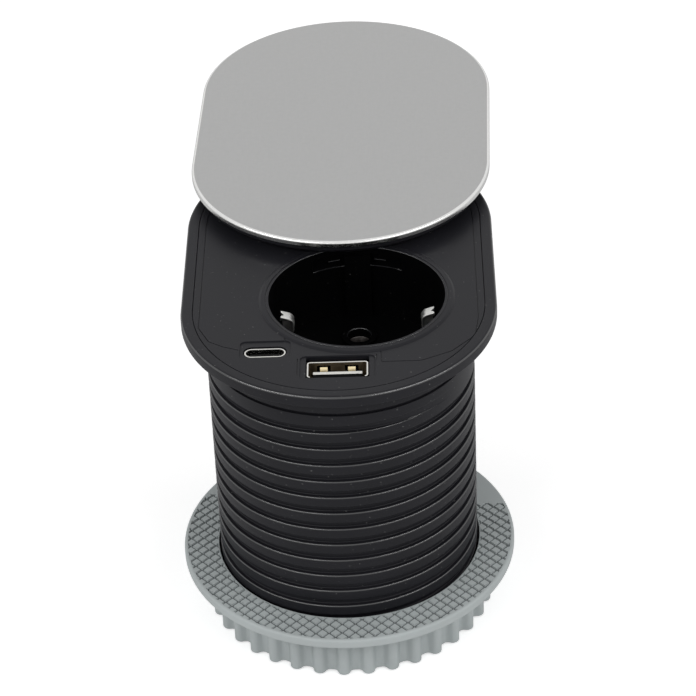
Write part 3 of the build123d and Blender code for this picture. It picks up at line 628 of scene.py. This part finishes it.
ports = {
    "aCentre": (-0.0001, -0.024), "aSize": (0.0131, 0.0057), "aCorner": 0.0007, "aSurround": (0.016, 0.0084),
    "aShift": 0.0004, "aWindow": (0.0136, 0.0076), "aWindowShift": 0.0007, "gap": 0.00025,
    "cCentre": (-0.01575, -0.0172), "cSize": (0.00895, 0.00325), "cSurround": (0.0108, 0.0064),
    "cShift": 0.0008, "cWindowShift": 0.0002, "corner": 0.0012, "flare": 0.00015, "recess": 0.00025,
    "wall": 0.00035, "mouthRound": 0.00008, "top": 0.0782, "bottom": 0.0662, "frontDrop": 0.0008,
    "cutDepth": 0.0012, "tongueWidth": 0.0106, "tongue": 0.0018, "tongueRear": 0.0004, "tongueDrop": 0.0009,
    "tongueTip": 0.001, "tongueRound": 0.00012, "baseHeight": 0.003, "baseGap": 0.0002,
    "cTongue": (0.0067, 0.0007), "cTongueDrop": 0.0006, "springPitch": 0.006, "springWindow": 0.0029,
    "windowTop": 0.0774, "windowBottom": 0.0714, "springWidth": 0.0016, "springThickness": 0.0002,
    "springLean": 0.0006, "springFoot": 0.0004, "springStart": 0.001, "springBelly": 0.0018,
    "springEnd": 0.0006, "springBack": 0.0001, "springBends": [0, 0.001, 0.0008, 0],
}


def facePlate(s, p, f):
    top, low = f["top"], s["bottom"] - over
    piece = slotPlate("facePlate", s["halfWidth"], f["span"], s["bottom"], top)
    bevelled(piece, above(top), s["edgeRound"])
    for place in s["postPlaces"]:  # posts of the port board
        post = disc("post", s["postRadius"], s["postBottom"], s["bottom"] + s["postOverlap"], place, 32)
        cutWith(piece, post, "UNION")
        cutWith(piece, disc("postHole", s["postHole"], s["postBottom"] - over, s["bottom"], place, 24))
    drill(piece, "wellHole", s["wellRadius"], s["bottom"], top, s["wellCentre"], 128)
    (aX, aY), (cX, cY) = p["aCentre"], p["cCentre"]
    for name, size, place in (("surroundA", p["aSurround"], (aX, aY + p["aShift"])),
                              ("surroundC", p["cSurround"], (cX, cY + p["cShift"]))):
        foot, head = top - p["recess"], top + p["recess"]
        cutWith(piece, block(name, *size, foot, head, place, p["corner"], p["flare"]))
    cutWith(piece, block("windowA", *p["aWindow"], low, top, (aX, aY + p["aWindowShift"]), p["wall"]))
    (width, depth), gap, shift = p["cSize"], 2 * p["gap"], p["cWindowShift"]
    cutWith(piece, pill("windowC", width + gap, depth + gap + shift, low, top, (cX, cY + shift)))
    # fine grooves: one line round the rear from port to port, and the short strokes by the surrounds
    line = [*reversed(s["rightGroove"]), *halfCircle(0, f["span"], s["grooveRadius"]), *s["leftGroove"]]
    for points in (line, *s["shortGrooves"]):
        points = [(x, y, top - s["grooveDepth"]) for x, y in points]
        cutWith(piece, ribbon("groove", points, (0, 0, 2 * s["grooveDepth"]), s["grooveWidth"]))
    # bush hole and the half round slot of the lid's stop
    drill(piece, "bushHole", f["bushHole"], s["bottom"], top, f["pivotPlace"], 64)
    arc = [(x, y, low) for x, y in halfCircle(*f["pivotPlace"], s["slotCircle"])]
    return cutWith(piece, ribbon("stopSlot", arc, (0, 0, top + over - low), 2 * s["slotHalfWidth"]))


finishPiece(facePlate(plate, ports, flange), "housing", "black_plastic", ["face_plate"])

# socket well
well = {
    "centre": (0.004, 0.0029), "radius": 0.0195, "floor": 0.061, "bottom": 0.059, "wall": 0.0015,
    "eye": 0.0003, "hub": 0.001, "lip": 0.0217, "lipTop": 0.079, "lipRound": 0.00012, "lipFoot": 0.00003,
    "lipFall": 0.00006, "rimWidth": 0.0006, "lineWidth": 0.00016, "lineDepth": 0.0002, "bandTop": 0.07885,
    "bandEdge": 0.0212, "bandRound": 0.0003, "plateTop": 0.0785, "snap": 0.0218, "snapTop": 0.0773,
    "snapHeight": 0.0009, "ribWidth": 0.0058, "ribDepth": 0.0012, "ribDrop": 0.0012, "overlap": 0.0005,
    "ribOverlap": 0.0004, "band": 0.06, "recessWidth": 0.0072, "recessHeight": 0.0031, "recessDepth": 0.0007,
    "recessRoom": 0.004, "nearWall": 0.00006, "catchPlace": 0.0052, "catchWidth": 0.0026,
    "catchHeight": 0.0014, "catchThickness": 0.0003, "catchInset": 0.0001, "catchOverlap": 0.0002,
    "nearCatch": 0.00015, "ledgeRound": 0.00012, "window": 0.0038, "windowDepth": 0.006, "windowTop": 0.0758,
    "pinSpacing": 0.019, "pinHole": 0.0027, "pinHoleRound": 0.00025, "pinBoss": 0.004, "bossHeight": 0.0008,
    "bossRound": 0.0002, "highlightSlope": (0.2, 0.95), "highlightRim": 0.0001, "highlightPinRim": 0.0004,
    "highlightDepth": 0.006,
}


def socketWell(s):
    radius, floor, centre, (x, y) = s["radius"], s["floor"], s["centre"], s["centre"]
    outer, rim = radius + s["wall"], radius + s["rimWidth"]
    line, lineFoot = rim + s["lineWidth"], s["lipTop"] - s["lineDepth"]
    snapFoot = s["snapTop"] - s["snapHeight"]
    points = [(s["eye"], s["bottom"]), (outer, s["bottom"]), (outer, snapFoot), (s["snap"], snapFoot),
              (s["snap"], s["snapTop"]), (outer, s["snapTop"]), (outer, s["plateTop"]),
              (s["lip"], s["plateTop"]), (s["lip"], s["plateTop"] + s["lipFoot"]),
              (s["bandEdge"], s["bandTop"]), (line, s["lipTop"] - s["lipFall"]), (line, lineFoot),
              (rim, lineFoot), (rim, s["lipTop"]), (radius, s["lipTop"]), (radius, floor),
              (s["eye"], floor)]
    radii = [*[0] * 9, s["bandRound"], 0, 0, 0, s["lipRound"], s["lipRound"], 0, 0]
    piece = turned("socketWell", softened(points, radii, 3), centre, 160)
    cutWith(piece, disc("hub", s["hub"], s["bottom"], floor, centre, 32), "UNION")
    # guide ribs front and rear
    ribTop = s["plateTop"] - s["ribDrop"]
    ribs = disc("guideRibs", radius + s["wall"] / 2, floor - s["overlap"], ribTop, centre, 160)
    drill(ribs, "ribRoom", radius - s["ribDepth"], floor, ribTop, centre)
    cutWith(ribs, block("ribBand", s["ribWidth"], s["band"], floor - s["ribOverlap"],
                        ribTop + s["overlap"], centre), "INTERSECT")
    cutWith(piece, ribs, "UNION")
    # shallow recess on each side of each rib, with a catch in the rear ones
    ledge, across = ribTop - s["recessHeight"], (s["ribWidth"] + s["recessWidth"]) / 2
    catchFoot, catchTop = ledge + s["catchHeight"], ledge + s["catchHeight"] + s["catchThickness"]
    low, high = ledge - over, ribTop + over
    for side in (-1, 1):
        recess = disc("recess", radius + s["recessDepth"], ledge, ribTop, centre, 160)
        drill(recess, "room", radius - s["recessRoom"], ledge, ribTop, centre, 96)
        cutWith(recess, block("band", s["recessWidth"], s["band"], low, high, (x + side * across, y)),
                "INTERSECT")
        cutWith(piece, recess)
        bevelled(piece, lambda edge: abs(middle(edge).z - ledge) < near and middle(edge).y > y
                 and abs(reach(middle(edge), centre) - radius) < s["nearWall"]
                 and side * (middle(edge).x - x) > 0, s["ledgeRound"])
        catch = disc("catch", radius + s["recessDepth"] + s["catchOverlap"], catchFoot, catchTop, centre, 160)
        drill(catch, "room", radius + s["catchInset"], catchFoot, catchTop, centre)
        bevelled(catch, lambda edge: above(catchTop)(edge)
                 and reach(middle(edge), centre) < radius + s["nearCatch"], s["ledgeRound"])
        cutWith(catch, block("band", s["catchWidth"], s["band"] / 2, low, high,
                             (x + side * s["catchPlace"], y + s["band"] / 4)), "INTERSECT")
        cutWith(piece, catch, "UNION")
        cutWith(piece, block("clipWindow", s["windowDepth"], s["window"], floor, s["windowTop"],
                             (x + side * (outer - over), y)))
    bossTop = floor + s["bossHeight"]
    for side in (-1, 1):
        pin = (x, y + side * s["pinSpacing"] / 2)
        boss = disc("pinBoss", s["pinBoss"], floor - s["overlap"], bossTop, pin, 48)
        cutWith(piece, bevelled(boss, above(bossTop), s["bossRound"]), "UNION")
        drill(piece, "pinHole", s["pinHole"], s["bottom"], bossTop, pin, 48)
        bevelled(piece, lambda edge: abs(middle(edge).z - bossTop) < near
                 and reach(middle(edge), pin) < s["pinHole"] + near, s["pinHoleRound"], 3)
    return piece


def highlightWellFace(face, s=well):  # narrow rounded faces that get the painted highlight: lip, ledges, catches and the rims of the pin holes
    place, (x, y) = face.center, s["centre"]
    if not slopes(face, s):
        return False
    if place.z > s["plateTop"]:
        return reach(place, (x, y)) < s["radius"] + s["rimWidth"] + s["highlightRim"]
    if place.z < s["floor"] + s["bossHeight"] + s["highlightRim"]:
        pins = [(x, y + side * s["pinSpacing"] / 2) for side in (-1, 1)]
        return min(reach(place, pin) for pin in pins) < s["pinHole"] + s["highlightPinRim"]
    return place.z > s["plateTop"] - s["highlightDepth"]


# inside the well the near-black finish is painted shade; faces above the plate take the satin black, the
# narrow rims the painted highlight
piece = finishPiece(socketWell(well), "housing", "black_gloss", ["socket_well"])
secondFinish(piece, "black_plastic", lambda face: face.center.z > well["plateTop"] - 10 * near)
secondFinish(piece, "highlight_edge", highlightWellFace)

# earth clips and pin contacts in the well
clip = {
    "foot": (0.0215, 0.0625), "lowBend": (0.0215, 0.0651), "middleBend": (0.0145, 0.0705),
    "topBend": (0.0145, 0.0734), "tip": (0.0171, 0.0742), "bend": 0.0012, "width": 0.0028,
    "thickness": 0.0008, "edgeRound": 0.00015, "edgeAngle": radians(50), "notch": 0.0011,
    "notchShift": 0.0003, "notchDepth": 0.002, "cheek": 0.0003,
    "cheekCorners": [("middleBend", 0, 0), ("topBend", 0, 0), ("tip", -0.0004, -0.0002),
                     ("tip", -0.0005, -0.0016), ("middleBend", 0.0017, 0), ("middleBend", 0.0036, -0.0027),
                     ("middleBend", 0.0022, -0.0017), ("middleBend", 0, 0)],
}
contact = {
    "pinPlaces": {"pin_contact_front": -0.0095, "pin_contact_rear": 0.0095}, "radius": 0.0034,
    "bore": 0.00245, "top": 0.0597, "shoulder": 0.0589, "neck": 0.00264, "bottom": 0.047, "collar": 0.0044,
    "collarDrop": 0.001, "mouth": 0.0024, "throat": 0.0019, "throatDrop": 0.0016, "springDrop": 0.0034,
    "rounds": [0, 0.0001, 0.0001, 0, 0.0002, 0, 0.0001, 0.0001, 0.0004, 0], "slit": 0.0007,
    "slitBottom": 0.0509, "lugWidth": 0.0034, "lugThickness": 0.001, "lugBottom": 0.043,
}


def earthClip(side, s, centre):
    def upright(points, y):  # distances from the well's axis and heights, put at a depth
        return [(centre[0] + side * away, y, height) for away, height in points]

    points = softened([s["foot"], s["lowBend"], s["middleBend"], s["topBend"], s["tip"]],
                      [0, s["bend"], s["bend"], s["bend"], 0], 6)
    leaf = ribbon("leaf", upright(points, centre[1] - s["width"] / 2), (0, s["width"], 0), s["thickness"])
    out, height = s["tip"]
    cutWith(leaf, disc("notch", s["notch"], height - s["notchDepth"], height + s["notchDepth"],
                       (centre[0] + side * (out + s["notchShift"]), centre[1]), 4))
    roundEdges(leaf, s["edgeRound"], s["edgeAngle"])
    # side cheeks that stiffen the upright part
    outline = [(s[bend][0] + out, s[bend][1] + up) for bend, out, up in s["cheekCorners"]]
    cheeks = []
    for end in (-1, 1):
        cheek = drawChain("cheek", upright(outline, centre[1] + end * (s["width"] - s["cheek"]) / 2))
        edit(cheek)
        mergeDoubles()
        bpy.ops.mesh.edge_face_add()
        leaveEditing()
        cheeks.append(applyModifier(cheek, "SOLIDIFY", thickness=s["cheek"], offset=0))
    piece = joined([leaf, *cheeks], "earthClipLeft" if side < 0 else "earthClipRight")
    edit(piece)
    return closeUp()


def pinContact(name, place, s):
    collarFoot = s["bottom"] - s["collarDrop"]
    points = [(s["bore"], collarFoot), (s["collar"], collarFoot), (s["collar"], s["bottom"]),
              (s["radius"], s["bottom"]), (s["radius"], s["shoulder"]), (s["neck"], s["shoulder"]),
              (s["neck"], s["top"]), (s["mouth"], s["top"]), (s["throat"], s["top"] - s["throatDrop"]),
              (s["bore"], s["top"] - s["springDrop"])]
    piece = turned(name, softened(points, s["rounds"], 3), place, 64)
    cutWith(piece, block("slit", 2 * s["radius"] + over, s["slit"], s["slitBottom"], s["top"] + over, place))
    lug = block("lug", s["lugWidth"], s["lugThickness"], s["lugBottom"], s["bottom"] - s["collarDrop"] / 2,
                (place[0], place[1] + s["bore"] + s["lugThickness"] / 2))
    return cutWith(piece, lug, "UNION")


for side, name in ((-1, "earth_clip_left"), (1, "earth_clip_right")):
    finishPiece(earthClip(side, clip, well["centre"]), name, "spring_steel", [name])
for name, shift in contact["pinPlaces"].items():
    pinPlace = (well["centre"][0], well["centre"][1] + shift)
    piece = pinContact("pinContactFront" if shift < 0 else "pinContactRear", pinPlace, contact)
    finishPiece(piece, "housing", "spring_steel", [name], "dull_nickel")

# lid
lid = {
    "pivot": (0, 0.0433), "openAngle": radians(178), "halfWidth": 0.0348, "span": 0.0337, "bottom": 0.0819,
    "top": 0.0832, "edgeRound": 0.0006, "skin": 0.0005, "carrierHalfWidth": 0.0339, "carrierBottom": 0.0793,
    "chamfer": 0.0012, "padTop": 0.0827, "padInset": 0.0002,
}
lidPivot = Vector((*lid["pivot"], 0))


def openLid(piece, s):  # turned about the pivot to the place it has in the photograph
    turn = Matrix.Rotation(s["openAngle"], 4, "Z")
    piece.matrix_world = Matrix.Translation(lidPivot) @ turn @ Matrix.Translation(-lidPivot)
    applyPlace(piece)
    return piece


def lidPlate(s):
    piece = slotPlate("lidPlate", s["halfWidth"], s["span"], s["bottom"], s["top"], 160)
    edit(piece)
    press(s["skin"], s["padTop"] - s["bottom"], -1)
    bevel(above(s["top"]), s["edgeRound"], 5)
    return openLid(closeUp(), s)


def lidCarrier(s):
    piece = slotPlate("lidCarrier", s["carrierHalfWidth"], s["span"], s["carrierBottom"], s["bottom"], 160)
    edit(piece)
    bevel(below(s["carrierBottom"]), s["chamfer"], 1)
    press(s["padInset"], s["padTop"] - s["bottom"])
    return openLid(closeUp(), s)


def onLidRim(face):
    place = Matrix.Rotation(-lid["openAngle"], 3, "Z") @ (face.center - lidPivot) + lidPivot
    return fromSpine(place, lid["span"]) > lid["halfWidth"] - lid["edgeRound"]


piece = finishPiece(lidPlate(lid), "lid", "brushed_lid", ["lid_plate"])
secondFinish(piece, "polished_edge", onLidRim)
finishPiece(lidCarrier(lid), "lid", "black_plastic", ["lid_carrier"])

# clamping nut
ring = {
    "bore": 0.0301, "radius": 0.0382, "bottom": 0.0121, "top": 0.0145, "edgeRound": 0.0006,
    "innerRound": 0.0002, "spigot": 0.03505, "spigotTop": 0.01335, "fieldInner": 0.0304, "fieldOuter": 0.0374,
    "fieldDepth": 0.0004, "chord": 0.0134, "chordTilt": radians(-5.5), "behind": 0.1, "cellPitch": 0.00207,
    "cellGap": 0.00042, "cellSlope": 0.00012, "cellFoot": 0.0001, "cellOverlap": 0.00005,
    "nearFloor": 0.00012, "lowest": 0.0003,
}


def gripField(s, bottom, top):  # the ring-shaped field of the pattern, ended by a chord at the rear
    area = disc("field", s["fieldOuter"], bottom, top, (0, 0), 192)
    drill(area, "fieldHole", s["fieldInner"], bottom, top, (0, 0), 192)
    behind = block("behind", s["behind"], s["behind"], bottom - over, top + over, (0, s["behind"] / 2))
    behind.rotation_euler.z = s["chordTilt"]
    behind.location.y = s["chord"]
    applyPlace(behind)
    return cutWith(area, behind)


def gripRing(s):
    top, floor = s["top"], s["top"] - s["fieldDepth"]
    points = [(s["bore"], s["spigotTop"]), (s["spigot"], s["spigotTop"]), (s["spigot"], s["bottom"]),
              (s["radius"], s["bottom"]), (s["radius"], top), (s["bore"], top)]
    radii = [0, 0, s["innerRound"], s["edgeRound"], s["edgeRound"], s["innerRound"]]
    piece = turned("gripRing", softened(points, radii), steps=192)
    cutWith(piece, gripField(s, floor, top + over))
    pitch, half = s["cellPitch"], (s["cellPitch"] - s["cellGap"]) / 2
    cell = block("cell", 2 * half, 2 * half, floor - s["cellFoot"], top, (0, 0))
    edit(cell)
    pick("VERT", lambda vert: vert.co.z > top - near)
    small = (half - s["cellSlope"]) / half
    bpy.ops.transform.resize(value=(small, small, 1), center_override=(0, 0, top))
    leaveEditing()
    cells = []
    count = ceil(s["fieldOuter"] / pitch) + 1
    for i in range(-count, count + 1):
        for j in range(-count, count + 1):
            x, y = i * pitch, j * pitch
            along, across = (x - y) * sqrt(0.5), (x + y) * sqrt(0.5)
            away = hypot(along, across)
            if s["fieldInner"] - pitch < away < s["fieldOuter"] + pitch and across < s["chord"] + 2 * pitch:
                one = copied(cell)
                one.rotation_euler.z = pi / 4
                one.location = (along, across, 0)
                cells.append(one)
    bpy.data.objects.remove(cell)
    cells = joined(cells, "cells")
    applyPlace(cells)
    cutWith(cells, gripField(s, floor - s["cellOverlap"], top + over), "INTERSECT")
    return joined([piece, cells], "gripRing")


def onFieldFloor(face, s=ring):
    return (abs(face.center.z - s["top"] + s["fieldDepth"]) < s["nearFloor"]
            and reach(face.center) < s["fieldOuter"] + near
            and face.center.z > s["spigotTop"] + s["lowest"])


piece = finishPiece(gripRing(ring), "grip_ring", "grey_plastic", ["grip_ring"])
# painted shade on the floors of the pattern's grooves
secondFinish(piece, "painted_groove_shade", onFieldFloor)

nut = {
    "lobes": 36, "crest": 0.0331, "trough": 0.0313, "lobeRadius": 0.0015, "rootRadius": 0.001,
    "firstLobe": radians(7.2), "top": 0.0121, "spigot": 0.035, "spigotTop": 0.0133, "bore": 0.0301,
    "footRound": 0.0003, "sidesPerLobe": 20, "ribTip": 0.02895, "ribFoot": 0.0304, "ribHeight": 0.00199,
    "ribWidth": 0.0011, "ribTurns": 0.9, "ribSteps": 96, "pitch": 0.00435,
}


def clampNut(s):
    clearSelection()
    sides = s["lobes"] * s["sidesPerLobe"]
    bpy.ops.mesh.primitive_circle_add(vertices=sides, radius=s["crest"], fill_type="NGON")
    piece = begun("clampNut")
    mesh = bmesh.from_edit_mesh(piece.data)
    # outline of one lobe by its turn: crest arc, hollow arc, wall between the lobes
    tip, root, step = s["lobeRadius"], s["rootRadius"], tau / s["lobes"]
    lobe, hollow, span = s["crest"] - tip, s["trough"] + root, tip + root
    hollowTurn = acos((lobe ** 2 + hollow ** 2 - span ** 2) / (2 * lobe * hollow))
    part = tip / span
    meetTurn = atan2(hollow * sin(hollowTurn) * part, lobe + (hollow * cos(hollowTurn) - lobe) * part)
    for vert in mesh.verts:
        turn = atan2(vert.co.y, vert.co.x)
        away = abs(((turn - s["firstLobe"]) / step + 0.5) % 1 - 0.5) * step
        if away < meetTurn:
            radius = lobe * cos(away) + sqrt(tip ** 2 - (lobe * sin(away)) ** 2)
        elif away < hollowTurn:
            left = hollowTurn - away
            radius = hollow * cos(left) - sqrt(root ** 2 - (hollow * sin(left)) ** 2)
        else:
            radius = s["trough"]
        vert.co.x, vert.co.y = radius * cos(turn), radius * sin(turn)
    bmesh.update_edit_mesh(piece.data)
    selectAll()
    extrude((0, 0, s["top"]))
    bevel(below(0), s["footRound"], 3)
    closeUp()
    cutWith(piece, disc("spigot", s["spigot"], s["top"] - over, s["spigotTop"], (0, 0), 160), "UNION")
    drill(piece, "nutBore", s["bore"], 0, s["spigotTop"])
    # helical rib that runs in the sleeve's groove
    low, high = s["ribHeight"] - s["ribWidth"] / 2, s["ribHeight"] + s["ribWidth"] / 2
    rib = drawProfile("rib", [(s["ribTip"], low), (s["ribFoot"], low), (s["ribFoot"], high),
                              (s["ribTip"], high), (s["ribTip"], low)])
    screw(rib, s["ribSteps"], tau * s["ribTurns"], screw_offset=s["pitch"] * s["ribTurns"],
          use_merge_vertices=True, merge_threshold=mergeWithin)
    edit(rib)
    mergeDoubles()
    for _ in range(2):
        pick("EDGE", lambda edge: edge.is_boundary)
        bpy.ops.mesh.fill_holes(sides=4)
    closeUp()
    return joined([piece, rib], "clampNut")


finishPiece(clampNut(nut), "clamp_nut", "grey_plastic", ["clamp_nut"])


# charging ports
def portShell(piece, p):  # hollows a port's outer block from above
    edit(piece)
    press(p["wall"], p["wall"] - (p["top"] - p["bottom"]))
    bevel(above(p["top"]), p["mouthRound"])
    return closeUp()


def typeAShell(p):
    centre, (x, y), (width, depth) = p["aCentre"], p["aCentre"], p["aSize"]
    rearWall, foot, head = y + (depth - p["wall"]) / 2, p["windowBottom"], p["windowTop"]
    piece = block("typeAShell", width, depth, p["bottom"], p["top"], centre, p["aCorner"], rounds=4)
    portShell(piece, p)
    cutWith(piece, block("frontDrop", width - 2 * p["aCorner"], p["cutDepth"], p["top"] - p["frontDrop"],
                         p["top"] + over, (x, y - depth / 2)))
    points = softened([(rearWall, foot - p["springFoot"]), (rearWall, foot + p["springStart"]),
                       (rearWall - p["springLean"], head - p["springBelly"]),
                       (rearWall + p["springBack"], head - p["springEnd"])], p["springBends"])
    springs = []
    for side in (-1, 1):  # spring fingers in windows of the rear wall
        place = x + side * p["springPitch"] / 2
        cutWith(piece, block("springWindow", p["springWindow"], p["cutDepth"], foot, head, (place, rearWall)))
        line = [(place - p["springWidth"] / 2, away, height) for away, height in points]
        springs.append(ribbon("spring", line, (p["springWidth"], 0, 0), p["springThickness"]))
    piece = joined([piece, *springs], "typeAShell")
    edit(piece)
    return closeUp()


def onBase(blade, name, p, shape, size, *place):  # a tongue's blade joined to the base in its shell
    width, depth = (side - 2 * p["wall"] - p["baseGap"] for side in size)
    foot = p["bottom"] + p["wall"]
    base = shape(name, width, depth, foot, foot + p["baseHeight"], *place)
    return cutWith(base, roundEdges(blade, p["tongueRound"]), "UNION")


def typeATongue(p):
    x, y = p["aCentre"]
    rear, bladeTop = y + p["tongueRear"], p["top"] - p["tongueDrop"]
    blade = block("blade", p["tongueWidth"], p["tongue"], p["bottom"] + p["wall"], bladeTop,
                  (x, rear - p["tongue"] / 2))
    # the tip is chamfered towards the contacts
    bevelled(blade, lambda edge: above(bladeTop)(edge) and middle(edge).y < rear - p["tongue"] + near,
             p["tongueTip"], 1)
    return onBase(blade, "typeATongue", p, block, p["aSize"], (x, y), p["wall"])


def typeCTongue(p):
    blade = block("blade", *p["cTongue"], p["bottom"] + p["wall"], p["top"] - p["cTongueDrop"], p["cCentre"])
    return onBase(blade, "typeCTongue", p, pill, p["cSize"], p["cCentre"])


# the inner walls of the type A shell, which get the painted shade
def insideShell(face, p=ports):
    (x, y), (width, depth), margin = p["aCentre"], p["aSize"], 0.0002
    return (abs(face.center.x - x) < width / 2 - margin and abs(face.center.y - y) < depth / 2 - margin
            and face.center.z < p["top"] - margin / 2)


def onSpring(face, p=ports):
    (x, y), depth = p["aCentre"], p["aSize"][1]
    away = abs(abs(face.center.x - x) - p["springPitch"] / 2)
    return (away < p["springWidth"] / 2 + near and face.center.z > p["windowBottom"]
            and 0.001 < face.center.y - y < depth / 2 - 5 * near)


def shadedTongueFront(face, p=ports):  # the tongue's front, where the contacts lie, made near-black as painted shade down the gap by the shell's front wall
    front = p["aCentre"][1] + p["tongueRear"] - p["tongue"]
    return face.center.y < front + p["tongueTip"] - 0.0002


shellC = pill("typeCShell", *ports["cSize"], ports["bottom"], ports["top"], ports["cCentre"])
for piece, slot, name, others in (
        (typeAShell(ports), "port_steel", "type_a_shell",
         {"tin_with_painted_shade": insideShell, "gold_contact": onSpring}),
        (portShell(shellC, ports), "port_steel", "type_c_shell", {}),
        (typeATongue(ports), "white_insulator", "type_a_tongue", {"black_gloss": shadedTongueFront}),
        (typeCTongue(ports), "black_gloss", "type_c_tongue", {})):
    finishPiece(piece, "housing", slot, [name])
    for finish, test in others.items():
        secondFinish(piece, finish, test)

# camera, lamps and floor
shot = {
    "place": (0.01714, -0.54132, 0.44270), "tilt": 34.758, "turn": 1.638, "roll": -2.594, "lens": 153.7,
    "sensor": 36, "world": 0.5, "floorSize": 3, "floorPlace": (0, 0.3, -0.0003), "floorGlow": 0.5,
    "lampPower": 1.75, "lampSize": (0.75, 0.06), "lampAim": (0, 0, 0.06),
    "lampPlaces": {"leftStrip": (-0.47, -0.40, 0.55), "rightStrip": (0.50, -0.36, 0.55)},
}


def camera(s):
    bpy.ops.object.camera_add(location=s["place"])
    eye = bpy.context.object
    aim = Euler((radians(90 - s["tilt"]), 0, radians(s["turn"]))).to_matrix()
    eye.rotation_euler = (aim @ Matrix.Rotation(radians(s["roll"]), 3, "Z")).to_euler()
    eye.data.lens = s["lens"]
    eye.data.sensor_width = s["sensor"]
    eye.data.clip_start, eye.data.clip_end = 0.01, 20
    bpy.context.scene.camera = eye


def lamp(name, place, aim, size, power):
    bpy.ops.object.light_add(type="AREA", location=place)
    light = bpy.context.object
    light.name = name
    light.data.shape = "RECTANGLE"
    light.data.size, light.data.size_y = size
    light.data.energy = power
    light.rotation_euler = (Vector(place) - Vector(aim)).to_track_quat("Z", "Y").to_euler()


def surroundings(s):
    white, grey = (1, 1, 1, 1), (0.9, 0.9, 0.9, 1)
    scene = bpy.context.scene
    scene.view_settings.view_transform = "Standard"
    world = bpy.data.worlds.new("studio")
    scene.world = world
    world.use_nodes = True
    tree = world.node_tree
    tree.nodes.clear()
    rays = node(tree, "LightPath").outputs
    seen = maths(tree, "MAXIMUM", rays["Is Camera Ray"], rays["Is Glossy Ray"])
    seen = maths(tree, "MAXIMUM", seen, rays["Is Transmission Ray"])
    soft, full = (node(tree, "Background", {"Color": white, "Strength": strength}).outputs[0]
                  for strength in (s["world"], 1.0))
    mix = node(tree, "MixShader", {0: seen, 1: soft, 2: full})
    node(tree, "OutputWorld", {"Surface": mix.outputs[0]})
    bpy.ops.mesh.primitive_plane_add(size=s["floorSize"], location=s["floorPlace"])
    floor = bpy.context.object
    floor.name = "floor"
    paper = bpy.data.materials.new("paleFloor")
    paper.use_nodes = True
    tree = paper.node_tree
    shader = tree.nodes["Principled BSDF"].inputs
    for label, value in (("Base Color", grey), ("Roughness", 0.9), ("Emission Color", white)):
        shader[label].default_value = value
    seen = node(tree, "LightPath").outputs["Is Camera Ray"]
    tree.links.new(maths(tree, "MULTIPLY", seen, s["floorGlow"]), shader["Emission Strength"])
    floor.data.materials.append(paper)


clearSelection()
camera(shot)
for name, place in shot["lampPlaces"].items():
    lamp(name, place, shot["lampAim"], shot["lampSize"], shot["lampPower"])
surroundings(shot)
